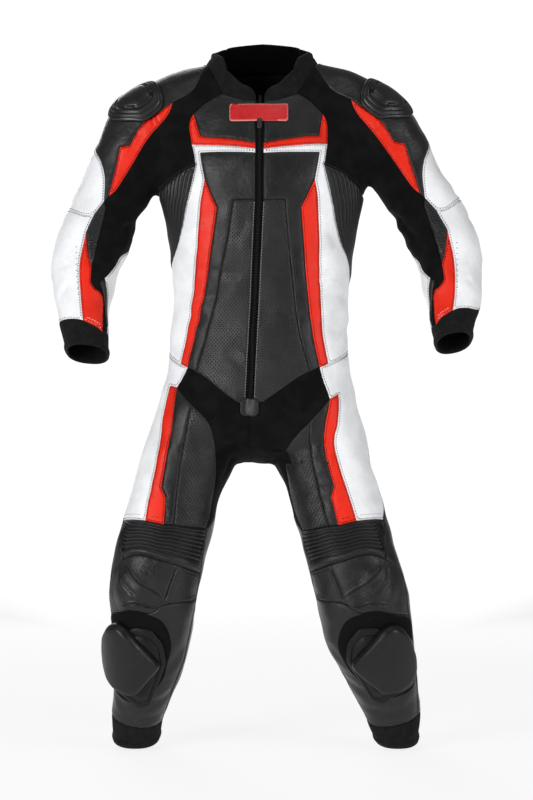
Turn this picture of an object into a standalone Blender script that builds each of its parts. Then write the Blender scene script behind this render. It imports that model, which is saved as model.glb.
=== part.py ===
"""A one-piece leather motorcycle race suit, filled out as it is worn, in metres with +Z up.

The wearer's chest faces -Y and the wearer's left hand is at +X. The origin is inside the collar.
Tables are in millimetres. Five hollow forms (torso, two sleeves, two legs) are drawn as rings and
blended into one skin. Seams are curves on that skin, each sewn piece is the patch inside a loop of
seams, and every patch becomes a wall with a rim, 0.3 mm clear of its neighbours.
"""

import math

import bpy
import numpy as np
from mathutils import Vector
from mathutils.geometry import delaunay_2d_cdt

# ---------------------------------------------------------------- driving sizes, millimetres
LEATHER = 2.0
STRETCH = 1.6
KNIT = 3.0
SEAM_GAP = 0.3
EDGE = 26.0
SPACING = 32.0
BLEND_ARM = 34.0
BLEND_LEG = 30.0
VIEW = (0.0, -3600.0, -550.0)
RIB_CLEAR = 2.5
RIB_INSET = 5.0
KNEE_RIBS = 9
KNEE_RIB_COLUMNS = 12
KNEE_RIB_RISE = 3.0
KNEE_RIB_TAPER = 9.0
SIDE_RIBS = 22
SIDE_RIB_LEVELS = 8
SIDE_RIB_INSET = 8.0
SIDE_RIB_PITCH = 7.7
SIDE_RIB_RISE = 2.2
SIDE_RIB_TAPER = 12.0
ELBOW_RIBS = 9
ELBOW_RIB_INSET = 8.0
ELBOW_RIB_SHARES = (0.18, 0.5, 0.82)
ELBOW_RIB_PITCH = 7.0
ELBOW_RIB_RISE = 1.6
ELBOW_RIB_TAPER = 4.0
ELBOW_PLAIN = 22.0
ZIP_THICK = 1.6
ZIP_SUNK = 0.8
CUFF_ROWS = 4
COLLAR_STEP = 13.0
COLLAR_ROUND = 16.0
NECK_MIDDLE = (0.0, 0.0, 30.0)
COLLAR_THICK = 4.0
# The collar's section: share of its height, length off that, and share of its thickness
COLLAR_SECTION = ((0, 0, 0), (0.55, 0, 0), (1, -1.4, 0.1), (1, 0, 0.5), (1, -1.4, 0.9), (0.55, 0, 1),
                  (0, 0, 1))
# By its share of the way from the front to the middle of the back: the collar's height, and how far
# it leans in for each millimetre that it rises
COLLAR_ROWS = ((0, 18, 0.1), (0.08, 24, 0.1), (0.18, 38, 0.15), (0.28, 40, 0.3), (0.4, 27, 0.65),
               (0.52, 24, 0.9), (0.64, 30, 0.75), (0.78, 42, 0.4), (1, 46, 0.12))
PATCH_CLEAR = 1.5
# Left, right, foot, top, corner radius and thickness, as seen from the front
BADGE = (-52.0, 48.0, -71.0, -41.0, 4.0, 1.6)
ZIP_TAB = (-34.0, -2.0, -578.0, -547.0, 9.0, 2.0)
ZIP_SLIDER = (9.0, 13.0, 3.0)
SLIDER_HEIGHT = -79.0
SLIDER_LIFT = 1.2
CUP_ANGLE = 51.0
CUP_RING = 4.1
CUP_ACROSS = 44.0
CUP_ALONG = 36.0
# How square the cup's outline is: 2 is an ellipse
CUP_SQUARE = 2.6
CUP_RISE = 7.5
CUP_TURN = 18
CUP_WALL = 3.0
CUP_CLEAR = 1.0
SLIDER_ANGLE = 31.0
SLIDER_RING = 11.25
SLIDER_RISE = 15.0
SLIDER_WALL = 6.0
SLIDER_CLEAR = 1.5
SLIDER_STEP = 15.0
PAD_CLEAR = 1.0
# Share of the cup's or slider's outline, and share of its rise
CUP_SECTION = ((0.86, 0.42), (0.79, 0.30), (0.68, 0.60), (0.60, 0.50), (0.46, 0.86), (0.22, 0.97))
SLIDER_SECTION = ((0.93, 0.62), (0.78, 0.94), (0.40, 1.0))
# The knee slider's outline round its centre: outwards round the leg, and up
SLIDER = ((8, 60), (27, 51), (43, 24), (49, -5), (41, -36), (20, -56), (-16, -63), (-40, -42),
          (-58, 0), (-33, 33), (-6, 54))

# Torso rings, level: height, centre across, half width, depth to front and to back, turn in degrees
TORSO = (
    # z, x, half, front, back, turn
    (45, 3, 70, 34, 66, 2),
    (31, 3, 79, 42, 74, 2),
    (9, 3, 88, 55, 84, 2),
    (-17, 3, 98, 68, 93, 2),
    (-43, 3, 112, 80, 100, 2),
    (-77, 3, 138, 92, 107, 2),
    (-112, 3, 160, 103, 112, 2),
    (-155, 3, 172, 112, 113, 2),
    (-206, 3, 172, 114, 108, 2),
    (-249, 3, 162, 112, 102, 3),
    (-292, 3, 156, 108, 97, 4),
    (-344, 2, 152, 104, 94, 5),
    (-396, 1, 150, 101, 95, 6),
    (-447, -2, 152, 102, 102, 6),
    (-490, -2, 156, 103, 110, 6),
    (-533, -5, 160, 100, 114, 6),
    (-568, -8, 156, 92, 110, 6),
    (-602, -9, 140, 78, 96, 6),
)

# Limb rings: outer and inner point seen from the front, how far forward (-) the middle lies,
# half depth, and how far the cut is turned about the limb in degrees
SLEEVE_R = (
    # xo, zo, xi, zi, y, depth, turn
    (-38, 24, -38, -140, 8, 56, 0),
    (-70, 24, -68, -148, 6, 64, 0),
    (-112, 21, -103, -158, 6, 72, 0),
    (-163, 5, -151, -175, 4, 76, 0),
    (-215, -22, -172, -181, 0, 74, 0),
    (-256, -55, -179, -188, -4, 68, 0),
    (-277, -108, -186, -198, -8, 63, 0),
    (-298, -158, -194, -217, -12, 61, 0),
    (-318, -206, -205, -230, -16, 60, 0),
    (-337, -251, -213, -255, -22, 61, 0),
    (-349, -292, -222, -284, -32, 61, 0),
    (-353, -330, -236, -316, -46, 56, 0),
    (-348, -372, -246, -358, -63, 50, 0),
    (-339, -409, -254, -399, -80, 44, 0),
    (-332, -439, -254, -439, -95, 41, 0),
    (-323, -468, -252, -475, -109, 39, 0),
)
SLEEVE_L = (
    # xo, zo, xi, zi, y, depth, turn
    (42, 24, 42, -140, 8, 56, 0),
    (74, 24, 72, -148, 6, 64, 0),
    (117, 24, 110, -158, 6, 72, 0),
    (169, 9, 158, -168, 4, 76, 0),
    (217, -19, 182, -172, 0, 74, 0),
    (256, -52, 191, -178, -4, 68, 0),
    (284, -100, 200, -192, -8, 63, 0),
    (306, -151, 212, -211, -12, 61, 0),
    (330, -189, 225, -234, -16, 60, 0),
    (353, -230, 239, -261, -22, 61, 0),
    (370, -272, 255, -292, -32, 61, 0),
    (375, -313, 268, -323, -46, 56, 0),
    (375, -354, 275, -361, -63, 50, 0),
    (372, -389, 284, -396, -80, 44, 0),
    (361, -416, 286, -430, -95, 41, 0),
    (353, -447, 292, -459, -109, 39, 0),
)
LEG_R = (
    # xo, zo, xi, zi, y, depth, turn
    (14, -520, 10, -642, 2, 90, 0),
    (-95, -502, -24, -640, 2, 96, 0),
    (-151, -530, -29, -640, 1, 96, 0),
    (-179, -576, -33, -640, -1, 93, 0),
    (-194, -619, -36, -645, -5, 89, 0),
    (-208, -667, -50, -674, -14, 84, 0),
    (-222, -719, -71, -714, -26, 79, 0),
    (-234, -757, -77, -760, -36, 76, 0),
    (-246, -805, -91, -812, -46, 74, 0),
    (-253, -851, -103, -863, -52, 73, 0),
    (-253, -898, -112, -915, -50, 71, 0),
    (-251, -949, -119, -963, -38, 67, 0),
    (-249, -1006, -134, -1018, -20, 60, 0),
    (-251, -1058, -155, -1066, -2, 52, 0),
    (-255, -1094, -167, -1097, 8, 47, 0),
    (-253, -1132, -174, -1132, 18, 45, 0),
)
LEG_L = (
    # xo, zo, xi, zi, y, depth, turn
    (-34, -520, -26, -650, 2, 90, -18),
    (83, -502, 10, -655, 2, 96, -18),
    (148, -530, 15, -657, 1, 96, -18),
    (170, -576, 21, -659, -1, 93, -19),
    (182, -619, 26, -662, -5, 89, -20),
    (191, -664, 36, -679, -14, 84, -20),
    (205, -712, 52, -717, -26, 79, -16),
    (217, -757, 62, -762, -36, 76, -12),
    (230, -805, 76, -812, -46, 74, -6),
    (244, -851, 88, -860, -52, 73, -6),
    (255, -898, 101, -912, -50, 71, -10),
    (261, -949, 112, -960, -38, 67, -15),
    (267, -1001, 138, -1004, -20, 60, -15),
    (272, -1053, 162, -1056, -2, 52, -12),
    (275, -1094, 182, -1096, 8, 47, -10),
    (273, -1132, 198, -1132, 18, 45, -10),
)


# ---------------------------------------------------------------- the five hollow forms
def smooth_rows(table, steps):
    """The table's rows with `steps` smooth ones to each, by Catmull-Rom."""
    rows = np.array(table, float)
    ends = np.vstack([2 * rows[0] - rows[1], rows, 2 * rows[-1] - rows[-2]])
    at = np.linspace(0, len(rows) - 1, steps * (len(rows) - 1) + 1)
    i = np.minimum(at.astype(int), len(rows) - 2)
    t = (at - i)[:, None]
    a, b, c, d = ends[i], ends[i + 1], ends[i + 2], ends[i + 3]
    return 0.5 * (2 * b + (c - a) * t + (2 * a - 5 * b + 4 * c - d) * t**2
                  + (3 * b - a - 3 * c + d) * t**3)


def unit(v):
    return v / np.maximum(np.linalg.norm(v, axis=-1, keepdims=True), 1e-12)


class Tube:
    """A hollow form: rings with a centre, an across and a front direction, and their half sizes."""

    STEPS = 6

    def __init__(self, name, centre, across, front, half, fore, aft, turn, cap):
        self.name = name
        self.centre, self.across, self.front = centre, unit(across), unit(front)
        self.half, self.fore, self.aft, self.turn, self.cap = half, fore, aft, turn, cap
        normal = unit(np.cross(self.across, self.front))
        flow = np.gradient(centre, axis=0)
        self.normal = normal * np.sign((normal * flow).sum(1))[:, None]
        steps = np.linalg.norm(np.diff(centre, axis=0), axis=1)
        self.along = np.concatenate([[0], np.cumsum(steps)])

    def rings(self, s):
        """Centre, across, front, half, fore, aft, turn and length along at ring numbers s."""
        at = np.clip(np.asarray(s, float) * self.STEPS, 0, len(self.half) - 1)
        i = np.minimum(at.astype(int), len(self.half) - 2)
        t = at - i
        out = []
        for values in (self.centre, self.across, self.front, self.half, self.fore, self.aft,
                       self.turn, self.along):
            w = t[..., None] if values.ndim == 2 else t
            out.append(values[i] * (1 - w) + values[i + 1] * w)
        out[1], out[2] = unit(out[1]), unit(out[2])
        return out

    def station(self, p):
        """Ring number, and how far past either end, of each point."""
        g = p @ self.normal.T - (self.centre * self.normal).sum(1)
        crossing = (g[:, :-1] >= 0) & (g[:, 1:] < 0)
        far = ((p**2).sum(1)[:, None] - 2 * p @ self.centre[:-1].T + (self.centre[:-1] ** 2).sum(1))
        i = np.argmin(np.where(crossing, far, 1e18), axis=1)
        rows = np.arange(len(p))
        t = g[rows, i] / np.maximum(g[rows, i] - g[rows, i + 1], 1e-9)
        at = i + np.clip(t, 0, 1)
        none = ~crossing.any(1)
        before = none & (g[:, 0] < 0)
        after = none & ~before
        at = np.where(before, 0, np.where(after, len(self.half) - 1, at))
        past = np.where(before, -g[:, 0], np.where(after, g[:, -1], 0))
        return at / self.STEPS, past

    def field(self, p):
        """About how far each point lies outside the form, negative inside."""
        s, past = self.station(p)
        centre, across, front, half, fore, aft, _, _ = self.rings(s)
        q = p - centre
        w, v = (q * across).sum(1), (q * front).sum(1)
        deep = np.where(v > 0, fore, aft)
        bulge = 2.3
        ratio = (np.abs(w / half) ** bulge + np.abs(v / deep) ** bulge
                 + np.abs(past / self.cap) ** bulge) ** (1 / bulge)
        return np.sqrt(w**2 + v**2 + past**2) * (1 - 1 / np.maximum(ratio, 1e-6))

    def locate(self, p):
        """Angle of the cut (0 front, 90 outer side, 180 back) and ring number of each point."""
        s, _ = self.station(p)
        centre, across, front, _, _, _, turn, _ = self.rings(s)
        q = p - centre
        return np.degrees(np.arctan2((q * across).sum(1), (q * front).sum(1))) - turn, s


def torso_tube(table):
    rows = smooth_rows(table, Tube.STEPS)
    z, x, half, fore, aft, turn = rows.T
    yaw = np.radians(turn)
    nil = np.zeros_like(z)
    across = np.stack([np.cos(yaw), -np.sin(yaw), nil], 1)
    front = np.stack([-np.sin(yaw), -np.cos(yaw), nil], 1)
    return Tube("torso", np.stack([x, nil, z], 1), across, front, half, fore, aft, nil, 40.0)


def limb_tube(name, table, cap):
    rows = smooth_rows(table, Tube.STEPS)
    xo, zo, xi, zi, y, depth, turn = rows.T
    nil = np.zeros_like(y)
    outer, inner = np.stack([xo, nil, zo], 1), np.stack([xi, nil, zi], 1)
    across = unit(outer - inner)
    centre = (outer + inner) / 2
    centre[:, 1] = y
    flow = unit(np.gradient(centre, axis=0))
    front = unit(np.cross(flow, across))
    front *= -np.sign(front[:, 1])[:, None]
    half = np.linalg.norm(outer - inner, axis=1) / 2
    return Tube(name, centre, across, front, half, depth, depth, turn, cap)


TABLES = {"sleeve_r": SLEEVE_R, "sleeve_l": SLEEVE_L, "leg_r": LEG_R, "leg_l": LEG_L}
TUBES = {
    "torso": torso_tube(TORSO),
    "sleeve_r": limb_tube("sleeve_r", SLEEVE_R, 30.0),
    "sleeve_l": limb_tube("sleeve_l", SLEEVE_L, 30.0),
    "leg_r": limb_tube("leg_r", LEG_R, 20.0),
    "leg_l": limb_tube("leg_l", LEG_L, 20.0),
}


def blend(a, b, width):
    h = np.maximum(width - np.abs(a - b), 0) / width
    return np.minimum(a, b) - h**2 * width / 4


def skin(p):
    """The whole suit's outer skin: zero on it, negative inside."""
    p = np.atleast_2d(np.asarray(p, float))
    legs = blend(TUBES["leg_r"].field(p), TUBES["leg_l"].field(p), BLEND_LEG)
    body = blend(TUBES["torso"].field(p), legs, BLEND_LEG)
    body = blend(body, TUBES["sleeve_r"].field(p), BLEND_ARM)
    return blend(body, TUBES["sleeve_l"].field(p), BLEND_ARM)


def outward(p):
    """Unit normal of the skin at each point."""
    step = 1.0
    return unit(np.stack([skin(p + step * e) - skin(p - step * e) for e in np.eye(3)], 1))


def on_skin(p, rounds=4):
    """Points moved onto the skin along its normal."""
    for _ in range(rounds):
        p = p - skin(p)[:, None] * outward(p)
    return p


def first_hit(start, way, reach, step, entering):
    """Where rays first meet the skin, going in from outside or out from inside."""
    count = int(reach / step) + 1
    at = np.linspace(0, reach, count)
    sign = 1 if entering else -1
    values = np.stack([sign * skin(start + r * way) for r in at], 1)
    below = values < 0
    below[:, 0] = False
    hit = np.argmax(below, axis=1)
    missed = ~below.any(1)
    hit[missed] = np.argmin(np.abs(values[missed]), axis=1)
    lo, hi = at[np.maximum(hit - 1, 0)], at[hit]
    for _ in range(12):
        mid = (lo + hi) / 2
        inside = sign * skin(start + mid[:, None] * way) < 0
        hi = np.where(inside, mid, hi)
        lo = np.where(inside, lo, mid)
    r = np.where(missed, at[hit], hi)
    return start + r[:, None] * way, missed


def cast(tube, angle, s):
    """Skin points at cut angle (degrees) and ring number on a tube."""
    angle, s = np.atleast_1d(angle).astype(float), np.atleast_1d(s).astype(float)
    centre, across, front, _, _, _, turn, _ = tube.rings(s)
    a = np.radians(angle + turn)[:, None]
    way = np.cos(a) * front + np.sin(a) * across
    point, missed = first_hit(centre, way, 270.0, 9.0, entering=False)
    return point


def seen(x, z):
    """Skin points that cover (x, z) of the middle plane as seen from the front."""
    eye = np.array(VIEW)
    goal = np.stack([np.atleast_1d(x), np.zeros(np.size(x)), np.atleast_1d(z)], 1).astype(float)
    way = unit(goal - eye)
    start = goal - way * 330.0
    point, missed = first_hit(start, way, 480.0, 8.0, entering=True)
    point[missed] = on_skin(point[missed]) if missed.any() else point[missed]
    return point


# ---------------------------------------------------------------- seams
# The cut is the same on both sides. On the torso "seen" gives half the distance between the pair of
# points as it appears from the front, and the height; on a limb it gives the place on the right side.
# "round" gives the cut angle and, on the torso, the height, or on a limb the ring number.
# "near" gives a place by the torso: half the distance between the pair, depth from the front, height.
POINTS = {
    "torso": {
        "zip_top": ("seen", 7, -33),
        "zip_yoke": ("seen", 7, -107),
        "zip_red": ("seen", 7, -117),
        "zip_white": ("seen", 7, -124),
        "zip_waist": ("seen", 7, -205),
        "zip_foot": ("seen", 7, -557),
        "zip_point": ("round", 0, -561),
        "neck_yoke": ("seen", 65, -21),
        "neck_flank": ("near", 88, -24, 14),
        "neck_aft": ("near", 74, 60, 25),
        "neck_back": ("near", 0, 79, 28),
        "red_tip": ("seen", 111, -57),
        "red_foot": ("seen", 117, -110),
        "band_foot": ("seen", 114, -124),
        "rib_corner": ("seen", 111, -146),
        "armpit": ("near", 176, -6, -202),
        "rib_aft": ("round", 134, -150),
        "rib_foot": ("round", 102, -360),
        "yoke_corner": ("seen", 103, -95),
        "upper_corner": ("seen", 103, -124),
        "stripe_tip": ("seen", 95, -170),
        "stripe_kink": ("seen", 73, -219),
        "panel_top": ("seen", 45, -205),
        "panel_foot": ("seen", 99, -501),
        "stripe_in": ("seen", 114, -494),
        "stripe_out": ("seen", 127, -488),
        "hip_side": ("round", 108, -466),
        "hip_back": ("round", 180, -500),
        "crotch": ("near", 0, -10, -655),
        "crotch_aft": ("near", 0, 52, -640),
    },
    "sleeve": {
        "flash_tip": ("seen", -150, -38),
        "flash_notch": ("seen", -224, -112),
        "flash_step": ("seen", -241, -115),
        "flash_foot": ("seen", -260, -200),
        "elbow_top": ("seen", -268, -208),
        "elbow_foot": ("seen", -289, -320),
        "elbow_white": ("seen", -285, -230),
        "fore_tip": ("seen", -299, -261),
        "white_top": ("round", 92, 6.1),
        "elbow_aft": ("round", 138, 8.6),
        "elbow_back": ("round", -150, 8.6),
        "fore_out": ("seen", -304, -413),
        "fore_in": ("seen", -270, -433),
        "gusset": ("round", -48, 12.0),
        "cuff_in": ("round", -82, 14.0),
    },
    "leg": {
        "notch_in": ("seen", -144, -528),
        "notch_out": ("seen", -155, -525),
        "thigh_out": ("seen", -198, -757),
        "thigh_kink": ("seen", -170, -700),
        "thigh_step": ("seen", -162, -717),
        "thigh_in": ("seen", -165, -764),
        "panel_hip": ("seen", -119, -557),
        "panel_knee": ("seen", -148, -765),
        "knee_side": ("round", 70, 7.05),
        "knee_inner": ("seen", -93, -771),
        "knee_low": ("seen", -104, -848),
        "knee_out": ("seen", -237, -824),
        "shin_in": ("seen", -110, -891),
        "shin_out": ("round", 78, 10.15),
        "hem_in": ("round", -70, 14.0),
        "hem_out": ("round", 72, 13.75),
    },
}

# Each seam by its form, with its two end points and the places between them
SEAMS = {
    "torso": {
        "neck_front": ("zip_top", "neck_yoke", [("seen", 34, -31)]),
        "neck_stretch": ("neck_yoke", "neck_flank", []),
        "neck_shoulder": ("neck_flank", "neck_aft", [("near", 97, 14, 26)]),
        "neck_rear": ("neck_aft", "neck_back", [("near", 40, 76, 27)]),
        "edge_yoke": ("zip_top", "zip_yoke", []),
        "edge_red": ("zip_yoke", "zip_red", []),
        "edge_white": ("zip_red", "zip_white", []),
        "edge_upper": ("zip_white", "zip_waist", []),
        "edge_lower": ("zip_waist", "zip_foot", []),
        "zip_end": ("zip_foot", "zip_point", []),
        "raglan_high": ("neck_yoke", "red_tip", [("seen", 95, -41)]),
        "raglan_red": ("red_tip", "red_foot", [("seen", 119, -77)]),
        "raglan_band": ("red_foot", "band_foot", []),
        "raglan_low": ("band_foot", "rib_corner", []),
        "rib_top": ("rib_corner", "armpit", [("seen", 144, -162)]),
        "rib_top_aft": ("armpit", "rib_aft", [("round", 112, -180)]),
        "raglan_back": ("rib_aft", "neck_aft", [("round", 138, -105), ("round", 140, -55)]),
        "red_inside": ("red_tip", "yoke_corner", []),
        "red_above": ("yoke_corner", "zip_yoke", []),
        "red_below": ("zip_red", "red_foot", []),
        "band_below": ("zip_white", "upper_corner", []),
        "upper_side": ("upper_corner", "stripe_tip", []),
        "stripe_bend": ("stripe_tip", "stripe_kink", []),
        "stripe_inner": ("stripe_kink", "stripe_in",
                         [("seen", 79, -275), ("seen", 87, -350), ("seen", 96, -410),
                          ("seen", 104, -450)]),
        "stripe_outer": ("stripe_tip", "stripe_out",
                         [("seen", 101, -206), ("seen", 105, -275), ("seen", 110, -370),
                          ("seen", 117, -435)]),
        "panel_high": ("zip_waist", "panel_top", []),
        "panel_curve": ("panel_top", "panel_foot",
                        [("seen", 52, -267), ("seen", 61, -327), ("seen", 70, -390),
                         ("seen", 82, -444)]),
        "vee": ("panel_foot", "zip_foot", [("seen", 77, -514), ("seen", 28, -550)]),
        "vee_corner": ("panel_foot", "stripe_in", []),
        "stripe_foot": ("stripe_in", "stripe_out", []),
        "hip_front": ("stripe_out", "hip_side", [("round", 82, -472)]),
        "hip_rear": ("hip_side", "hip_back", [("round", 145, -482)]),
        "rib_front": ("rib_corner", "rib_foot", [("seen", 125, -206), ("seen", 140, -275)]),
        "rib_rear": ("rib_foot", "rib_aft", [("round", 117, -275), ("round", 128, -206)]),
        "side_rear": ("rib_foot", "hip_side", []),
        "crotch_front": ("zip_point", "crotch", [("near", 0, -88, -600), ("near", 0, -60, -636)]),
        "crotch_under": ("crotch", "crotch_aft", []),
        "crotch_rear": ("crotch_aft", "hip_back", [("near", 0, 100, -600), ("near", 0, 114, -550)]),
    },
    "sleeve": {
        "shoulder_front": ("neck_flank", "flash_tip", [("seen", -115, -15)]),
        "flash_top": ("flash_tip", "flash_notch", [("seen", -172, -53), ("seen", -203, -76)]),
        "flash_ledge": ("flash_notch", "flash_step", []),
        "flash_out": ("flash_step", "flash_foot", [("seen", -246, -141)]),
        "flash_low": ("flash_tip", "flash_foot",
                      [("seen", -160, -62), ("seen", -193, -101), ("seen", -220, -146),
                       ("seen", -246, -187)]),
        "shoulder_foot": ("flash_foot", "elbow_top", []),
        "white_front": ("white_top", "elbow_top", [("seen", -275, -139), ("seen", -267, -167)]),
        "white_rear": ("white_top", "elbow_aft", [("round", 122, 6.6), ("round", 136, 7.6)]),
        "rib_in": ("elbow_top", "elbow_foot", [("seen", -265, -219), ("seen", -277, -272)]),
        "rib_high": ("elbow_top", "elbow_white", []),
        "rib_mid": ("elbow_white", "fore_tip", []),
        "rib_low": ("fore_tip", "elbow_foot", [("seen", -297, -290)]),
        "elbow_seam": ("elbow_white", "elbow_aft", [("seen", -306, -231), ("round", 92, 8.45)]),
        "elbow_rear": ("elbow_aft", "elbow_back", [("round", 178, 8.75)]),
        "shoulder_rear": ("rib_aft", "elbow_back", [("round", -150, 5.6), ("round", -150, 7.2)]),
        "fore_outer": ("fore_tip", "fore_out", [("seen", -310, -315), ("seen", -308, -370)]),
        "fore_inner": ("elbow_foot", "fore_in", [("seen", -289, -352), ("seen", -268, -376)]),
        "fore_foot": ("fore_out", "fore_in", []),
        "gusset_high": ("elbow_back", "gusset", [("round", -116, 9.9), ("round", -88, 10.8)]),
        "gusset_low": ("gusset", "cuff_in", [("round", -70, 12.8)]),
        "cuff_front": ("fore_in", "cuff_in", []),
        "cuff_rear": ("cuff_in", "fore_out",
                      [("round", -130, 13.9), ("round", 180, 13.6), ("round", 130, 13.4),
                       ("round", 92, 13.3)]),
    },
    "leg": {
        "notch": ("stripe_in", "notch_in", []),
        "notch_foot": ("notch_in", "notch_out", []),
        "thigh_white": ("notch_out", "thigh_out", [("seen", -167, -578), ("seen", -175, -638)]),
        "thigh_red": ("notch_in", "thigh_kink", [("seen", -150, -578), ("seen", -159, -638)]),
        "thigh_bend": ("thigh_kink", "thigh_step", []),
        "thigh_foot": ("thigh_step", "thigh_in", []),
        "panel_hip": ("notch_in", "panel_hip", []),
        "panel_inner": ("panel_hip", "knee_inner",
                        [("seen", -91, -585), ("seen", -78, -620), ("seen", -74, -660), ("seen", -80, -720)]),
        "thigh_seam": ("panel_hip", "panel_knee",
                       [("seen", -124, -585), ("seen", -135, -645), ("seen", -143, -710)]),
        "knee_a": ("knee_side", "thigh_out", []),
        "knee_b": ("thigh_out", "thigh_in", []),
        "knee_c": ("thigh_in", "panel_knee", []),
        "knee_d": ("panel_knee", "knee_inner", [("seen", -120, -769)]),
        "white_back": ("hip_side", "knee_side",
                       [("round", 112, 3.6), ("round", 108, 5.2), ("round", 92, 6.4)]),
        "stretch_back": ("crotch_aft", "knee_inner",
                         [("round", -128, 4.4), ("round", -112, 5.5), ("round", -84, 6.6)]),
        "rib_inner": ("knee_inner", "knee_low", []),
        "rib_outer": ("knee_side", "knee_out", []),
        "rib_lower": ("knee_out", "knee_low",
                      [("seen", -220, -817), ("seen", -196, -818), ("seen", -172, -826),
                       ("seen", -141, -835), ("seen", -120, -842)]),
        "cap_inner": ("knee_low", "shin_in", []),
        "cap_outer": ("knee_out", "shin_out", [("round", 76, 9.0)]),
        "cap_lower": ("shin_out", "shin_in",
                      [("seen", -225, -915), ("seen", -189, -917), ("seen", -160, -901)]),
        "shin_inner": ("shin_in", "hem_in", [("seen", -122, -963), ("seen", -143, -1032)]),
        "shin_outer": ("shin_out", "hem_out", [("round", 84, 11.2), ("round", 82, 12.6)]),
        "hem_front": ("hem_out", "hem_in", [("round", 30, 13.9), ("round", -20, 14.05)]),
        "hem_rear": ("hem_in", "hem_out",
                     [("round", -125, 13.9), ("round", 180, 13.8), ("round", 125, 13.75)]),
    },
}

# The largest folds: a soft trough between two places by the skin, its half width and depth
FOLDS = (
    # x0, y0, z0, x1, y1, z1, width, depth
    (-24, -100, -552, -34, -66, -628, 11, 7),
    (20, -100, -575, 46, -58, -650, 14, 5),
    (-150, -60, -120, -168, -62, -176, 14, 4),
    (-226, -66, -280, -232, -30, -236, 12, 5),
    (262, -78, -290, 240, -40, -250, 12, 5),
    (-170, 60, -852, -120, 70, -860, 12, 5),
    (120, 70, -862, 180, 62, -850, 12, 5),
)


def covered(p):
    """Where points appear on the middle plane from the front."""
    eye = np.array(VIEW)
    return eye + (p - eye) * (eye[1] / (eye[1] - p[:, 1]))[:, None]


def ring_at(z):
    torso = TUBES["torso"]
    return np.interp(-z, -torso.centre[:, 2], np.arange(len(torso.half))) / Tube.STEPS


def places(form):
    """Every table place of one form."""
    found = list(POINTS[form].values())
    for _, _, between in SEAMS[form].values():
        found += between
    return sorted(set(found), key=str)


def cuts(form, wheres):
    """Cut angles and ring numbers of table places, shared by both sides."""
    kind = np.array([w[0] == "seen" for w in wheres])
    first, second = (np.array([w[k] for w in wheres], float) for k in (1, 2))
    angle, ring = first.copy(), ring_at(second) if form == "torso" else second.copy()
    x, z = first[kind], second[kind]
    if form == "torso":
        torso = TUBES["torso"]
        middle = covered(cast(torso, 0 * z, ring_at(z)))[:, 0]
        right, ring_r = torso.locate(seen(middle - x, z))
        left, ring_l = torso.locate(seen(middle + x, z))
        angle[kind], ring[kind] = (left - right) / 2, (ring_l + ring_r) / 2
    else:
        angle[kind], ring[kind] = TUBES[form + "_r"].locate(seen(x, z))
    return angle, ring


def by_torso(wheres, sign):
    """Skin points from half the distance between a pair, depth and height."""
    _, half, depth, height = (np.array(column) for column in zip(*wheres))
    centre, across, front, *_ = TUBES["torso"].rings(ring_at(height))
    p = centre + across * (sign * half)[:, None] - front * depth[:, None]
    p[:, 2] = height
    return on_skin(p, 6)


def place_all():
    """The skin point of each table place, by form, place and side."""
    found = {}
    for form in POINTS:
        near = [w for w in places(form) if w[0] == "near"]
        other = [w for w in places(form) if w[0] != "near"]
        angle, ring = cuts(form, other)
        for side, sign in (("r", -1), ("l", 1)):
            tube = TUBES["torso"] if form == "torso" else TUBES[f"{form}_{side}"]
            turned = sign * angle if form == "torso" else angle
            for w, p in zip(other, cast(tube, turned, ring)):
                found[form, w, side] = p
            if near:
                for w, p in zip(near, by_torso(near, sign)):
                    found[form, w, side] = p
    return found


def through(knots, spacing):
    """Points at even steps along a smooth line through the knots."""
    knots = np.array(knots, float)
    if len(knots) > 2:
        ends = np.vstack([2 * knots[0] - knots[1], knots, 2 * knots[-1] - knots[-2]])
        fine = []
        for a, b, c, d in zip(ends[:-3], ends[1:-2], ends[2:-1], ends[3:]):
            t = np.linspace(0, 1, 12, endpoint=False)[:, None]
            fine.append(0.5 * (2 * b + (c - a) * t + (2 * a - 5 * b + 4 * c - d) * t**2
                               + (3 * b - a - 3 * c + d) * t**3))
        knots = np.vstack(fine + [knots[-1:]])
    run = np.concatenate([[0], np.cumsum(np.linalg.norm(np.diff(knots, axis=0), axis=1))])
    count = max(1, math.ceil(run[-1] / spacing - 0.2))
    at = np.linspace(0, run[-1], count + 1)
    return np.stack([np.interp(at, run, knots[:, k]) for k in range(3)], 1)


def draw_seams():
    """The points of each seam by name and side, the same for both pieces that meet there."""
    place = place_all()
    at = {(name, side): place[form, where, side]
          for form, points in POINTS.items() for name, where in points.items() for side in "rl"}
    lines = {}
    for form, seams in SEAMS.items():
        for name, (start, end, between) in seams.items():
            for side in "rl":
                knots = [at[start, side]] + [place[form, w, side] for w in between] + [at[end, side]]
                lines[name, side] = through(knots, EDGE)
    inner = on_skin(np.vstack([line[1:-1] for line in lines.values()]), 6)
    done = 0
    for line in lines.values():
        line[1:-1] = inner[done:done + len(line) - 2]
        done += len(line) - 2
    return lines


SEAM_POINTS = draw_seams()


def loop_of(names, side):
    """A closed line of seam points. A name's leading - reverses it, and a last _r or _l fixes its side."""
    line = []
    for name in names.split():
        own = name[-1] if name[-2:] in ("_r", "_l") else side
        plain = name.lstrip("-").removesuffix("_r").removesuffix("_l")
        part = SEAM_POINTS[plain, own]
        line.append(part[::-1][:-1] if name[0] == "-" else part[:-1])
    return np.vstack(line)


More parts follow.
